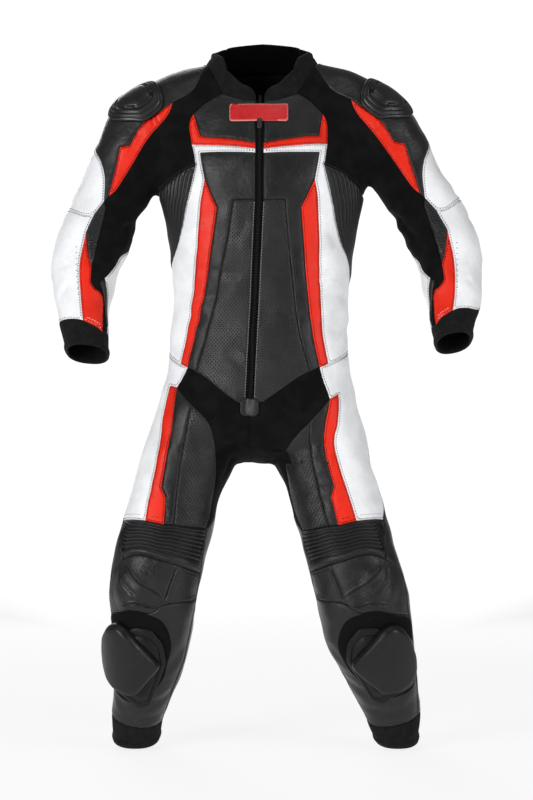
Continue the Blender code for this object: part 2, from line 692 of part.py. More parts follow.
# ---------------------------------------------------------------- sewn pieces
# Each piece by the form that it lies on, its material, and its seams in turn
PAIRED = {
    "chest": ("torso", "leather_black",
              "neck_front raglan_high red_inside red_above -edge_yoke"),
    "yoke_red": ("torso", "leather_red",
                 "raglan_red -red_below -edge_red -red_above -red_inside"),
    "front_white": ("torso", "leather_white",
                    "red_below raglan_band raglan_low rib_front side_rear -hip_front -stripe_outer"
                    " -upper_side -band_below -edge_white"),
    "front_upper": ("torso", "leather_black",
                    "band_below upper_side stripe_bend stripe_inner -vee_corner -panel_curve"
                    " -panel_high -edge_upper"),
    "front_lower": ("torso", "leather_black", "panel_high panel_curve vee -edge_lower"),
    "stripe_red": ("torso", "leather_red", "stripe_outer -stripe_foot -stripe_inner -stripe_bend"),
    "side_rib": ("torso", "leather_black", "rib_top rib_top_aft -rib_rear -rib_front"),
    "shoulder": ("sleeve", "leather_black",
                 "shoulder_front flash_top flash_ledge flash_out shoulder_foot -white_front white_rear"
                 " elbow_rear -shoulder_rear raglan_back -neck_shoulder"),
    "flash_red": ("sleeve", "leather_red", "flash_top flash_ledge flash_out -flash_low"),
    "sleeve_stretch": ("sleeve", "stretch_black",
                       "neck_stretch shoulder_front flash_low shoulder_foot rib_in fore_inner cuff_front"
                       " -gusset_low -gusset_high -shoulder_rear -rib_top_aft -rib_top -raglan_low"
                       " -raglan_band -raglan_red -raglan_high"),
    "white_upper": ("sleeve", "leather_white", "white_front rib_high elbow_seam -white_rear"),
    "white_fore": ("sleeve", "leather_white",
                   "-elbow_seam rib_mid fore_outer -cuff_rear -gusset_low -gusset_high -elbow_rear"),
    "elbow_rib": ("sleeve", "leather_black", "rib_in -rib_low -rib_mid -rib_high"),
    "fore_red": ("sleeve", "leather_red", "fore_outer fore_foot -fore_inner -rib_low"),
    "cuff": ("sleeve", "knit_black", "fore_foot cuff_front cuff_rear"),
    "leg_stretch": ("leg", "stretch_black",
                    "-zip_end -vee vee_corner notch panel_hip panel_inner -stretch_back"
                    " -crotch_under -crotch_front"),
    "thigh_white": ("leg", "leather_white",
                    "-hip_front -stripe_foot notch notch_foot thigh_white -knee_a -white_back"),
    "thigh_red": ("leg", "leather_red",
                  "notch_foot thigh_white knee_b -thigh_foot -thigh_bend -thigh_red"),
    "thigh_side": ("leg", "leather_black",
                   "thigh_red thigh_bend thigh_foot knee_c -thigh_seam -panel_hip"),
    "thigh_front": ("leg", "leather_black", "thigh_seam knee_d -panel_inner"),
    "leg_back": ("leg", "leather_black",
                 "white_back rib_outer cap_outer shin_outer -hem_rear -shin_inner -cap_inner"
                 " -rib_inner -stretch_back crotch_rear -hip_rear"),
    "knee_rib": ("leg", "leather_black",
                 "knee_a knee_b knee_c knee_d rib_inner -rib_lower -rib_outer"),
    "knee_panel": ("leg", "leather_black", "cap_inner -cap_lower -cap_outer rib_lower"),
    "shin": ("leg", "leather_black", "shin_inner -hem_front -shin_outer cap_lower"),
    "ankle_cuff": ("leg", "knit_black", "hem_rear hem_front"),
}


# ---------------------------------------------------------------- walls
MATERIALS = {
    # name: (colour, roughness, metallic, wall thickness in millimetres)
    "leather_black": ((0.022, 0.022, 0.024, 1), 0.45, 0.0, LEATHER),
    "leather_red": ((0.86, 0.045, 0.008, 1), 0.42, 0.0, LEATHER),
    "leather_white": ((0.82, 0.83, 0.84, 1), 0.42, 0.0, LEATHER),
    "stretch_black": ((0.008, 0.008, 0.009, 1), 0.85, 0.0, STRETCH),
    "knit_black": ((0.012, 0.012, 0.012, 1), 0.8, 0.0, KNIT),
    "plastic_black": ((0.015, 0.015, 0.016, 1), 0.35, 0.0, 3.0),
    "patch_red": ((0.75, 0.02, 0.015, 1), 0.4, 0.0, 1.6),
    "metal_dark": ((0.12, 0.12, 0.125, 1), 0.3, 1.0, 3.0),
}


def sunk(p, normal):
    """Points moved in along the largest folds."""
    for x0, y0, z0, x1, y1, z1, width, depth in FOLDS:
        a, b = np.array((x0, y0, z0), float), np.array((x1, y1, z1), float)
        at = np.clip((p - a) @ (b - a) / ((b - a) @ (b - a)), 0, 1)
        gap = np.linalg.norm(p - a - at[:, None] * (b - a), axis=1)
        p = p - normal * (depth * np.exp(-((gap / width) ** 2)))[:, None]
    return p


def flatten(tube, p):
    """Cut angle in radians along a line of points, without jumps, and length along the form."""
    angle, ring = tube.locate(p)
    _, past = tube.station(p)
    along = np.interp(ring * Tube.STEPS, np.arange(len(tube.along)), tube.along)
    run = np.where(ring > 0.01, along + past, along - past)
    return np.unwrap(np.radians(angle)), run


def edge_distance(p, loop):
    """Distance of 2D points from a closed line, and whether they lie inside it."""
    nearest = np.full(len(p), 1e9)
    inside = np.zeros(len(p), bool)
    for a, b in zip(loop, np.roll(loop, -1, axis=0)):
        t = np.clip((p - a) @ (b - a) / max((b - a) @ (b - a), 1e-9), 0, 1)
        nearest = np.minimum(nearest, np.linalg.norm(p - a - t[:, None] * (b - a), axis=1))
        crosses = (a[1] > p[:, 1]) != (b[1] > p[:, 1])
        rise = (b[0] - a[0]) * (p[:, 1] - a[1]) / (b[1] - a[1] if b[1] != a[1] else 1e-9) + a[0]
        inside ^= crosses & (p[:, 0] < rise)
    return nearest, inside


def grid_inside(loop, spacing, margin):
    """Staggered points inside a closed 2D line."""
    low, high = loop.min(0), loop.max(0)
    found = [np.zeros((0, 2))]
    for k, v in enumerate(np.arange(low[1] + spacing / 2, high[1], spacing * 0.87)):
        u = np.arange(low[0] + spacing * 0.5 * (k % 2), high[0], spacing)
        found.append(np.stack([u, np.full_like(u, v)], 1))
    points = np.vstack(found)
    nearest, inside = edge_distance(points, loop)
    return points[inside & (nearest > margin)]


def triangles_in(loop, inner, lines):
    """Triangles over the inside of a closed 2D line, its points first, along the given lines."""
    points = [Vector(p) for p in np.vstack([loop, inner])]
    ring = list(range(len(loop)))
    borders = list(zip(ring, ring[1:] + ring[:1]))
    _, _, faces, origin, _, _ = delaunay_2d_cdt(points, borders + lines, [], 0, 1e-6, True)
    middles = np.array([sum((points[origin[k][0]] for k in face), Vector((0, 0))) / 3
                        for face in faces])
    inside = edge_distance(middles, loop)[1]
    return [tuple(origin[k][0] for k in face) for face, kept in zip(faces, inside) if kept]


def rim_shift(p, normal, gap):
    """How far each point of a closed line moves into its piece to leave half the seam's gap."""
    before = unit(np.cross(normal, p - np.roll(p, 1, axis=0)))
    after = unit(np.cross(normal, np.roll(p, -1, axis=0) - p))
    middle = unit(before + after)
    share = np.maximum((middle * after).sum(1), 0.12)
    return middle * (gap / 2 / share)[:, None]


def rim_faces(outer, a, b, count):
    """Two faces of a rim, split the same way by both pieces that meet there."""
    if (outer[b] - outer[a]) @ np.array([1.0, 0.7, 0.4]) > 0:
        return [(b, a, a + count), (b, a + count, b + count)]
    return [(b, a, b + count), (b + count, a, a + count)]


def wall(outer, inner, rim, faces):
    """Vertices and faces of a closed wall from its outer and inner points. The rim's points come first."""
    count = len(outer)
    made = list(faces) + [tuple(k + count for k in face[::-1]) for face in faces]
    for a, b in zip(rim, rim[1:] + rim[:1]):
        made += rim_faces(outer, a, b, count)
    return np.vstack([outer, inner]), made


def tile(tube, edge, thickness, lift=0.0, detail=None, rise=0.0, seam_gap=SEAM_GAP,
         spacing=SPACING):
    """The wall over the patch of skin inside a closed line of points."""
    centre_ring, _ = tube.station(edge)
    _, _, _, half, fore, *_ = tube.rings(centre_ring)
    radius = float(np.mean(half + fore) / 2)
    angle, run = flatten(tube, edge)
    loop = np.stack([angle * radius, run], 1)
    if np.sum(loop[:, 0] * np.roll(loop[:, 1], -1) - np.roll(loop[:, 0], -1) * loop[:, 1]) < 0:
        loop, edge = loop[::-1], edge[::-1]
    if detail:
        inner, lines, heights = detail(loop)
    else:
        inner, lines = grid_inside(loop, spacing, spacing * 0.55), []
        heights = np.zeros(len(inner))
    count = len(loop)
    faces = triangles_in(loop, inner, [(a + count, b + count) for a, b in lines])
    ring = np.interp(inner[:, 1], tube.along, np.arange(len(tube.along))) / Tube.STEPS
    points = edge
    if len(inner):
        points = np.vstack([edge, cast(tube, np.degrees(inner[:, 0] / radius), ring)])
    normal = outward(points)
    corner = [points[list(column)] for column in zip(*faces)]
    facing = np.cross(corner[1] - corner[0], corner[2] - corner[0])
    way = np.sign((facing * normal[[face[0] for face in faces]]).sum())
    points = points.copy()
    points[:count] += rim_shift(edge, normal[:count] * way, seam_gap)
    plain = sunk(points, normal) + normal * lift
    high = plain + normal * (np.concatenate([np.zeros(count), heights]) * rise)[:, None]
    rim = list(range(count))
    if way < 0:
        faces = [face[::-1] for face in faces]
        rim = rim[::-1]
    if lift:
        return wall(high + normal * thickness, plain, rim, faces)
    return wall(high, plain - normal * thickness, rim, faces)


# ---------------------------------------------------------------- ribs and raised pads
def crossings(loop, axis, value):
    """Where a closed 2D line crosses one value of a coordinate: least and greatest of the other."""
    found = []
    for a, b in zip(loop, np.roll(loop, -1, axis=0)):
        if (a[axis] > value) != (b[axis] > value):
            t = (value - a[axis]) / (b[axis] - a[axis])
            found.append(a[1 - axis] + t * (b[1 - axis] - a[1 - axis]))
    return (min(found), max(found)) if found else (0.0, 0.0)


def joined(rows, loop, margin, taper):
    """Points, lines between neighbours along each row, and heights, from rows of (u, v, height)."""
    points, lines, heights = [], [], []
    for row in rows:
        if not row:
            continue
        row = np.array(row)
        nearest, inside = edge_distance(row[:, :2], loop)
        middle = (row[1:, :2] + row[:-1, :2]) / 2
        clear = edge_distance(middle, loop)[1] if len(middle) else []
        last = None
        for k, (u, v, height) in enumerate(row):
            if not inside[k] or nearest[k] < margin:
                last = None
                continue
            if last is not None and clear[k - 1]:
                lines.append((last, len(points)))
            last = len(points)
            points.append((u, v))
            heights.append(height * min(1.0, nearest[k] / taper))
    return np.array(points), lines, np.array(heights)


def knee_ribs(loop):
    """Ribs across the knee, between the upper and the lower seam."""
    low, high = loop[:, 0].min(), loop[:, 0].max()
    columns = np.linspace(low + RIB_INSET, high - RIB_INSET, KNEE_RIB_COLUMNS)
    ends = [crossings(loop, 0, u) for u in columns]
    rows = [[(u, a + (b - a) * k / (2 * KNEE_RIBS), k % 2) for u, (a, b) in zip(columns, ends)]
            for k in range(1, 2 * KNEE_RIBS)]
    return joined(rows, loop, RIB_CLEAR, KNEE_RIB_TAPER)


def side_ribs(loop):
    """Ribs down the flank, beside the front seam."""
    low, high = loop[:, 1].min(), loop[:, 1].max()
    levels = np.linspace(low + SIDE_RIB_INSET, high - SIDE_RIB_INSET, SIDE_RIB_LEVELS)
    rows = []
    for k in range(1, 2 * SIDE_RIBS):
        row = []
        for v in levels:
            near, far = crossings(loop, 1, v)
            sign = 1 if abs(near) < abs(far) else -1
            start = near if sign > 0 else far
            row.append((start + sign * k * SIDE_RIB_PITCH / 2, v, k % 2))
        rows.append(row)
    return joined(rows, loop, RIB_CLEAR, SIDE_RIB_TAPER)


def elbow_ribs(loop):
    """Small ribs across the upper part of the elbow patch."""
    low, high = loop[:, 1].min(), loop[:, 1].max()
    rows = []
    for k in range(1, 2 * ELBOW_RIBS):
        v = low + ELBOW_RIB_INSET + k * ELBOW_RIB_PITCH / 2
        near, far = crossings(loop, 1, v)
        rows.append([(near + (far - near) * t, v, k % 2) for t in ELBOW_RIB_SHARES])
    plain = high - ELBOW_PLAIN
    rows.append([(sum(crossings(loop, 1, plain)) / 2, plain, 0)])
    return joined(rows, loop, RIB_CLEAR, ELBOW_RIB_TAPER)


def cup_rings(loop):
    """Rings of the shoulder cup: ridges round a smooth crown."""
    centre = loop.mean(0)
    rows = []
    for size, height in CUP_SECTION:
        step = 1 if size > 0.5 else 2
        ring = centre + (loop[::step] - centre) * size
        rows.append([(u, v, height) for u, v in ring])
    rows.append([(centre[0], centre[1], 1.0)])
    return joined(rows, loop, PAD_CLEAR, PAD_CLEAR)


def slider_rings(loop):
    """The knee slider's flat crown inside a bevelled edge."""
    centre = loop.mean(0)
    rows = [[(u, v, height) for u, v in centre + (loop - centre) * size]
            for size, height in SLIDER_SECTION]
    rows.append([(centre[0], centre[1], 1.0)])
    return joined(rows, loop, PAD_CLEAR, PAD_CLEAR)


DETAIL = {"knee_rib": (knee_ribs, KNEE_RIB_RISE), "side_rib": (side_ribs, SIDE_RIB_RISE),
          "elbow_rib": (elbow_ribs, ELBOW_RIB_RISE)}


def sewn(name, side):
    form, material, names = PAIRED[name]
    tube = TUBES["torso"] if form == "torso" else TUBES[f"{form}_{side}"]
    detail, rise = DETAIL.get(name, (None, 0.0))
    return tile(tube, loop_of(names, side), MATERIALS[material][3], detail=detail, rise=rise)


def back():
    names = ("-hip_rear_r -side_rear_r rib_rear_r raglan_back_r neck_rear_r"
             " -neck_rear_l -raglan_back_l -rib_rear_l side_rear_l hip_rear_l")
    return tile(TUBES["torso"], loop_of(names, "r"), LEATHER)


def zip_strip():
    names = ("edge_yoke_r edge_red_r edge_white_r edge_upper_r edge_lower_r zip_end_r"
             " -zip_end_l -edge_lower_l -edge_upper_l -edge_white_l -edge_red_l -edge_yoke_l")
    edge = np.vstack([loop_of(names, "r"), SEAM_POINTS["edge_yoke", "l"][:1]])
    return tile(TUBES["torso"], edge, ZIP_THICK, lift=-ZIP_THICK - ZIP_SUNK)


def band(name, side, rows):
    """A closed cuff from its seam to the end of the limb."""
    form, material, names = PAIRED[name]
    tube = TUBES[f"{form}_{side}"]
    edge = loop_of(names, side)
    angle, _ = tube.locate(edge)
    count = len(edge)
    middle = tube.rings(np.array([len(TABLES[tube.name]) - 1.0]))[0][0]
    end = cast(tube, angle, np.full(count, len(TABLES[tube.name]) - 1.0))
    down = unit(middle - edge.mean(0))
    seam_normal = outward(edge)
    shift = rim_shift(edge, seam_normal, SEAM_GAP)
    shift *= np.sign((shift @ down).sum())
    levels = [edge + shift]
    for t in np.linspace(0, 1, rows)[1:]:
        level = edge * (1 - t) + end * t
        levels.append(on_skin(level, 3) if t < 1 else level)
    points = np.vstack(levels)
    normal = outward(points)
    normal[:count] = seam_normal
    normal[-count:] = unit(normal[-count:] - (normal[-count:] @ down)[:, None] * down)
    inner = points - normal * MATERIALS[material][3]
    total = len(points)
    made = []
    for r in range(rows - 1):
        for k in range(count):
            a, b = r * count + k, r * count + (k + 1) % count
            c, d = b + count, a + count
            made += [(a, b, c), (a, c, d)]
            made += [(total + c, total + b, total + a), (total + d, total + c, total + a)]
    last = total - count
    for a, b in zip(range(count), list(range(1, count)) + [0]):
        made += rim_faces(points, a, b, total)
        made += [face[::-1] for face in rim_faces(points, last + a, last + b, total)]
    facing = np.cross(points[made[0][1]] - points[made[0][0]], points[made[0][2]] - points[made[0][0]])
    if facing @ normal[0] < 0:
        made = [face[::-1] for face in made]
    return np.vstack([points, inner]), made


def collar():
    """The stand-up collar, open in front, inside the neck seam."""
    right = loop_of("neck_front_r neck_stretch_r neck_shoulder_r neck_rear_r", "r")
    left = loop_of("neck_front_l neck_stretch_l neck_shoulder_l neck_rear_l", "l")
    base = np.vstack([right, SEAM_POINTS["neck_rear", "r"][-1:], left[::-1]])
    run = np.concatenate([[0], np.cumsum(np.linalg.norm(np.diff(base, axis=0), axis=1))])
    count = math.ceil(run[-1] / COLLAR_STEP)
    near = COLLAR_ROUND * (1 - np.cos(np.linspace(0.12, 0.5, 4) * math.pi))
    even = np.linspace(near[-1], run[-1] - near[-1], count)[1:-1]
    at = np.concatenate([near, even, run[-1] - near[::-1]])
    base = np.stack([np.interp(at, run, base[:, k]) for k in range(3)], 1)
    base = on_skin(base)
    normal = outward(base)
    along = unit(np.gradient(base, axis=0))
    inward = unit(np.cross(along, normal))
    inward *= np.sign((inward * (np.array(NECK_MIDDLE) - base)).sum(1))[:, None]
    share = np.minimum(at, run[-1] - at) / (run[-1] / 2)
    rows = smooth_rows(COLLAR_ROWS, 8).T
    lean = np.interp(share, rows[0], rows[2])
    up = unit(inward * lean[:, None] + np.array([0, 0, 1.0]))
    thick = unit(np.cross(along, up))
    thick *= np.sign((thick * normal).sum(1))[:, None]
    height = np.interp(share, rows[0], rows[1])
    end = np.clip(np.minimum(at, run[-1] - at) / COLLAR_ROUND, 0, 1)
    height = height * np.sqrt(np.maximum(1 - (1 - end) ** 2, 0))
    foot = base + inward * SEAM_GAP / 2 - normal * LEATHER
    total = (height + LEATHER)[:, None]
    sections = np.stack([foot + up * (total * share + less) - thick * COLLAR_THICK * depth
                         for share, less, depth in COLLAR_SECTION], 1)
    size = len(COLLAR_SECTION)
    made = []
    for i in range(len(at) - 1):
        for j in range(size):
            a, b = i * size + j, i * size + (j + 1) % size
            made += [(a, b, b + size), (a, b + size, a + size)]
    last = (len(at) - 1) * size
    for j in range(1, size - 1):
        made += [(0, j + 1, j), (last, last + j, last + j + 1)]
    points = sections.reshape(-1, 3)
    a, b, c = (points[[face[k] for face in made]] for k in range(3))
    if (np.cross(a, b) * c).sum() < 0:
        made = [face[::-1] for face in made]
    return points, made


def rounded(x0, x1, z0, z1, corner, step):
    """A closed outline with round corners, by width and height."""
    points = []
    for cx, cz, start in ((x1 - corner, z1 - corner, 0), (x0 + corner, z1 - corner, 90),
                          (x0 + corner, z0 + corner, 180), (x1 - corner, z0 + corner, 270)):
        for turn in (0, 45, 90):
            a = math.radians(start + turn)
            points.append((cx + corner * math.cos(a), cz + corner * math.sin(a)))
    closed = points + points[:1]
    full = []
    for a, b in zip(closed[:-1], closed[1:]):
        count = max(1, math.ceil(math.dist(a, b) / step))
        full += [tuple(np.array(a) + (np.array(b) - np.array(a)) * k / count) for k in range(count)]
    return np.array(full)


def patch(x0, x1, z0, z1, corner, thickness):
    """A flat piece sewn on the front over the panels."""
    outline = rounded(x0, x1, z0, z1, corner, 16.0)
    edge = seen(outline[:, 0], outline[:, 1])
    return tile(TUBES["torso"], edge, thickness, lift=PATCH_CLEAR, seam_gap=0.0, spacing=18.0)


def pad(tube, angle, ring, outline, thickness, lift, detail, rise):
    """A raised hard piece: an outline in millimetres round a place on a limb."""
    _, _, _, half, fore, *_ = tube.rings(np.array([ring]))
    radius = (half[0] + fore[0]) / 2
    start = np.interp(ring * Tube.STEPS, np.arange(len(tube.along)), tube.along)
    rings = np.interp(start + outline[:, 1], tube.along, np.arange(len(tube.along))) / Tube.STEPS
    edge = cast(tube, angle + np.degrees(outline[:, 0] / radius), rings)
    return tile(tube, edge, thickness, lift=lift, detail=detail, rise=rise, seam_gap=0.0)


def shoulder_cup(side):
    turn = np.radians(np.arange(0, 360, CUP_TURN))
    across, along = (np.sign(part) * np.abs(part) ** (2 / CUP_SQUARE)
                     for part in (np.cos(turn), np.sin(turn)))
    outline = np.stack([CUP_ACROSS * across, CUP_ALONG * along], 1)
    return pad(TUBES[f"sleeve_{side}"], CUP_ANGLE, CUP_RING, outline, CUP_WALL, CUP_CLEAR,
               cup_rings, CUP_RISE)


def knee_slider(side):
    outline = np.array([(u, -v) for u, v in SLIDER])
    closed = np.vstack([outline, outline[:1]])
    outline = through(np.hstack([closed, np.zeros((len(closed), 1))]), SLIDER_STEP)[:-1, :2]
    return pad(TUBES[f"leg_{side}"], SLIDER_ANGLE, SLIDER_RING, outline, SLIDER_WALL, SLIDER_CLEAR,
               slider_rings, SLIDER_RISE)


# ---------------------------------------------------------------- objects
def finish(name):
    colour, roughness, metallic, _ = MATERIALS[name]
    made = bpy.data.materials.get(name) or bpy.data.materials.new(name)
    made.use_nodes = True
    shader = made.node_tree.nodes["Principled BSDF"]
    shader.inputs["Base Color"].default_value = colour
    shader.inputs["Roughness"].default_value = roughness
    shader.inputs["Metallic"].default_value = metallic
    return made


def add(suit, name, made, material):
    points, faces = made
    mesh = bpy.data.meshes.new(name)
    mesh.from_pydata([tuple(p * 0.001) for p in points], [], faces)
    mesh.update()
    mesh.materials.append(finish(material))
    obj = bpy.data.objects.new(name, mesh)
    suit.objects.link(obj)


def add_zip_slider(suit):
    """The zip's small metal slider, under the badge."""
    spot = seen(0, SLIDER_HEIGHT)
    normal = outward(spot)[0]
    bpy.ops.mesh.primitive_cube_add(size=1.0)
    obj = bpy.context.object
    obj.name = "zip_slider"
    obj.location = Vector((spot[0] + normal * SLIDER_LIFT) * 0.001)
    obj.rotation_euler = Vector(normal).to_track_quat("Z", "Y").to_euler()
    obj.scale = [0.001 * size for size in ZIP_SLIDER]
    for collection in obj.users_collection:
        collection.objects.unlink(obj)
    suit.objects.link(obj)
    obj.data.materials.append(finish("metal_dark"))


def main():
    for obj in list(bpy.data.objects):
        bpy.data.objects.remove(obj, do_unlink=True)
    suit = bpy.data.collections.new("race_suit")
    bpy.context.scene.collection.children.link(suit)
    add(suit, "back", back(), "leather_black")
    add(suit, "zip", zip_strip(), "stretch_black")
    add(suit, "collar", collar(), "knit_black")
    add(suit, "badge", patch(*BADGE), "patch_red")
    add(suit, "zip_tab", patch(*ZIP_TAB), "leather_black")
    add_zip_slider(suit)
    for side in "rl":
        for name, (_, material, _) in PAIRED.items():
            made = band(name, side, CUFF_ROWS) if name in ("cuff", "ankle_cuff") else sewn(name, side)
            add(suit, f"{name}_{side}", made, material)
        add(suit, f"shoulder_cup_{side}", shoulder_cup(side), "plastic_black")
        add(suit, f"knee_slider_{side}", knee_slider(side), "plastic_black")


if __name__ == "__main__":
    main()
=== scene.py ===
"""Looks of the leather race suit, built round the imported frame. Tables are in millimetres.

Five hollow forms (torso, two sleeves, two legs) are rings blended into one skin. Each sewn piece is
the patch of skin inside a loop of seams, as a thin shell with its creases, ribs and rolled edges.
Stitches, teeth, cups and sliders are laid on the same skin.
"""

import math
from concurrent.futures import ThreadPoolExecutor

import bpy
import numpy as np
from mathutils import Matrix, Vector
from mathutils.geometry import delaunay_2d_cdt
from mathutils.kdtree import KDTree


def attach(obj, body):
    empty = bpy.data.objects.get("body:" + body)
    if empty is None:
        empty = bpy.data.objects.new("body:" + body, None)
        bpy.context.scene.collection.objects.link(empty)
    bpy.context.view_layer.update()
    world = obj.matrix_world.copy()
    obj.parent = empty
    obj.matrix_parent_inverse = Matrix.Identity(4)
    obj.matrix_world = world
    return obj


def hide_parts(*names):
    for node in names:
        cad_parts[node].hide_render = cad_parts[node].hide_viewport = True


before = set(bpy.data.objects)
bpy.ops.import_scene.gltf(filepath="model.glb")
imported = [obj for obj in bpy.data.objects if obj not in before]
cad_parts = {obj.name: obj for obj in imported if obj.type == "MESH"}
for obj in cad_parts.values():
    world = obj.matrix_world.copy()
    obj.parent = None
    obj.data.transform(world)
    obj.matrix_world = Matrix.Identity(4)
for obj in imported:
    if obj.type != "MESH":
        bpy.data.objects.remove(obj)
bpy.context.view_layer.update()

# ---------------------------------------------------------------- sizes, millimetres
MM = 0.001
# A sewn piece's first triangles are COARSE wide, and each is cut in four LEVELS times
LEVELS = 2
COARSE = 14.0
FINEST = 2 ** (LEVELS + 2)
SEAM_GAP = 0.3
# The edge of leather turned under at a seam, and the pull of the stitches along it
ROLL_WIDTH = 4.5
ROLL_DROP = 1.1
PUCKER = 0.28
PUCKER_STEP = 13.0
PUCKER_FADE = 5.0
CREASE_STEP = 9.0
# How far from a seam, in mm, leather is rubbed, and how strongly: lighter with wear on black and red,
# darker with dirt and painted shade on white
SEAM_RUB_AND_SHADE_FADE = 3.0
SEAM_RUB_AND_SHADE = 0.7
# How softly limbs run into the torso, and how far from the skin a form still counts
BLEND_ARM = 34.0
BLEND_LEG = 30.0
REACH = 60.0
FAR = 1e4
CHUNK = 6000
# Where the photo's viewer stands, and rays that look for the skin: reach and step
VIEW = (0.0, -3600.0, -550.0)
CAST_RAY = (270.0, 9.0)
SEEN_RAY = (480.0, 8.0)
SEEN_START = 330.0
THICKNESS = {"leather_black": 2.0, "leather_red": 2.0, "leather_white": 2.0, "stretch_black": 1.6,
             "knit_black": 3.0}
FINISH = {"front_lower": "leather_perforated", "thigh_front": "leather_perforated"}
STRIP_SHARE = 0.4
CUFFS = ("cuff", "ankle_cuff")
# Pieces with fine relief, and how many more times their triangles are cut
FINER = {"elbow_rib": 2, "knee_panel": 2}
# Ribbed pieces whose triangles lie in rows: flat coordinate along the ribs, whether they follow one
# edge alone, and the rows' spacing across and along them
RIB_ROWS = {"knee_rib": (0, False, 0.62, 4.0), "side_rib": (1, True, 0.85, 4.0)}
ROW_ENDS = 9.0
# A trough's raised lips: depth, and place and half width in the trough's own half widths
CREASE_LIP = (0.32, 1.9, 0.8)
KNEE_LIP = (0.45, 2.6, 1.3)
# How round the forms' cuts are: 2 is an ellipse
BULGE = 2.3

KNEE_RIBS = 8
KNEE_RIB_RISE = 3.2
KNEE_RIB_SHARE = 0.755
KNEE_BAND_RISE = 4.2
SIDE_RIB_PITCH = 7.7
SIDE_RIB_RISE = 3.0
ELBOW_RIB_PITCH = 5.2
ELBOW_RIB_RISE = 1.8
ELBOW_RIB_LENGTH = 118.0

ZIP_THICK = 1.6
ZIP_SUNK = 0.8

CUFF_ROWS = 22
CUFF_RIB = 5.2
CUFF_RIB_RISE = 0.35
# A cuff's rolled rim and the groove beside it: rise, place from the rim and half width
CUFF_ROLL = (2.2, 5.0, 5.5)
CUFF_GROOVE = (-0.9, 10.5, 1.6)

COLLAR_STEP = 3.5
COLLAR_ROUND = 16.0
NECK_MIDDLE = (0.0, 0.0, 30.0)
COLLAR_THICK = 4.0
# By its share of the way to the middle of the back: the collar's height, and how far it leans in
COLLAR_SHAPE = ((0, 18, 0.1), (0.08, 24, 0.1), (0.18, 38, 0.15), (0.28, 40, 0.3), (0.4, 27, 0.65),
                (0.52, 24, 0.9), (0.64, 30, 0.75), (0.78, 42, 0.4), (1, 46, 0.12))
COLLAR_ROWS = 16
# The collar's rolled top and the groove under it: rise, place under the top and half width
COLLAR_ROLL = (1.6, 4.0, 4.5)
COLLAR_GROOVE = (-0.8, 11.0, 1.6)
COLLAR_SOFT = 1.4
COLLAR_UNDER = 3.5

# Where the cup's middle is on the sleeve: cut angle and ring number
CUP_ANGLE = 51.0
CUP_RING = 4.1
# The cup's outline round the arm and along it
CUP = ((22, -27), (5, -31), (-21, -36), (-36, -34), (-43, -23), (-48, -9), (-47, 5), (-30, 22),
       (-18, 30), (-4, 36), (16, 37), (32, 29), (41, 14), (42, -4), (36, -18))
CUP_CORNER = 7.0
CUP_RISE = 7.5
CUP_WALL = 3.0
CUP_CLEAR = 1.0
CUP_ROWS = 72
# How far the cup's shell sits off the middle of its outline, round the arm and along it
CUP_SHIFT = (15.0, 2.0)
# The cup's shell: size of its outline and height there, both from 0 to 1
CUP_SHELL = ((0.05, 1.0), (0.25, 0.98), (0.42, 0.88), (0.50, 0.74), (0.54, 0.42), (0.58, 0.34),
             (0.62, 0.36), (0.66, 0.66), (0.71, 0.62), (0.75, 0.38), (0.79, 0.56), (0.84, 0.52),
             (0.88, 0.26), (0.92, 0.42), (0.97, 0.34), (1.0, 0.0))
# Vents round the shell: size of the outline, angle and half width in radians
CUP_VENTS = ((0.56, -0.9, 0.20), (0.56, -2.0, 0.20), (0.56, 2.5, 0.28))
CUP_VENT = 2.6
PAD_TURNS = 144

# The slider's outline, with straight sides toward the knee's inner side
SLIDER = ((11, 58), (26, 51), (42, 28), (49, 0), (46, -26), (32, -48), (12, -59), (-22, -62),
          (-39, -31), (-57, 1), (-48, 12), (-4, 53))
SLIDER_CORNER = 9.0
SLIDER_ANGLE = 31.0
SLIDER_RING = 11.25
SLIDER_RISE = 15.0
SLIDER_WALL = 6.0
SLIDER_CLEAR = 1.5
SLIDER_ROWS = 48
SLIDER_SHELL = ((0.04, 1.0), (0.60, 0.98), (0.80, 0.95), (0.86, 0.91), (0.89, 0.86), (0.975, 0.46),
                (0.99, 0.30), (1.0, 0.0))
# A fine pressed line round the slider's face: size of the outline, half width and depth
SLIDER_LINE = (0.845, 0.010, 0.55)

# Patches on the front as they appear: left, right, foot and top, round corners and thickness
BADGE = (-52.0, 48.0, -71.0, -41.0, 4.0, 1.6)
ZIP_TAB = (-34.0, -2.0, -578.0, -547.0, 9.0, 2.0)

# Outlines and lines on the right leg as they appear from the front, width and height
LOOP_PATCH = ((-236, -915), (-215, -912), (-191, -920), (-169, -931), (-157, -950), (-153, -975),
              (-158, -998), (-168, -1032), (-205, -1068), (-250, -1040), (-276, -975), (-262, -925))
BACKING = ((-213, -940), (-186, -944), (-168, -966), (-163, -1000), (-178, -1042), (-190, -1074),
           (-206, -1078), (-228, -1061), (-250, -1030), (-256, -975), (-240, -950))
BACKING_CORNER = 6.0
BACKING_CLEAR = 2.2
BACKING_RISE = 3.4
# Pressed lines on the knee: points in turn, half width and depth
KNEE_LINES = (
    (((-143, -838), (-154, -868), (-164, -897)), 1.1, 2.1),
    (((-231, -827), (-228, -836), (-217, -853), (-203, -867), (-180, -881), (-166, -893)), 1.2, 1.9),
    (((-238, -838), (-235, -859), (-223, -874), (-211, -887)), 2.6, 1.5),
    (((-237, -903), (-214, -900), (-192, -906), (-168, -905), (-164, -897)), 1.2, 1.8),
    (((-143, -841), (-126, -846), (-108, -853)), 0.9, 1.1),
    (((-164, -899), (-140, -902), (-118, -893), (-104, -886)), 1.1, 2.1),
)
# The raised cap over the outer knee: middle from the front, half sizes and height
KNEE_CAP = (-226, -876, 30, 34, 6.0)
# A leather strip in front of the seam down the inner forearm: degrees from it, width
FORE_STRIP = (9.0, 10.0)
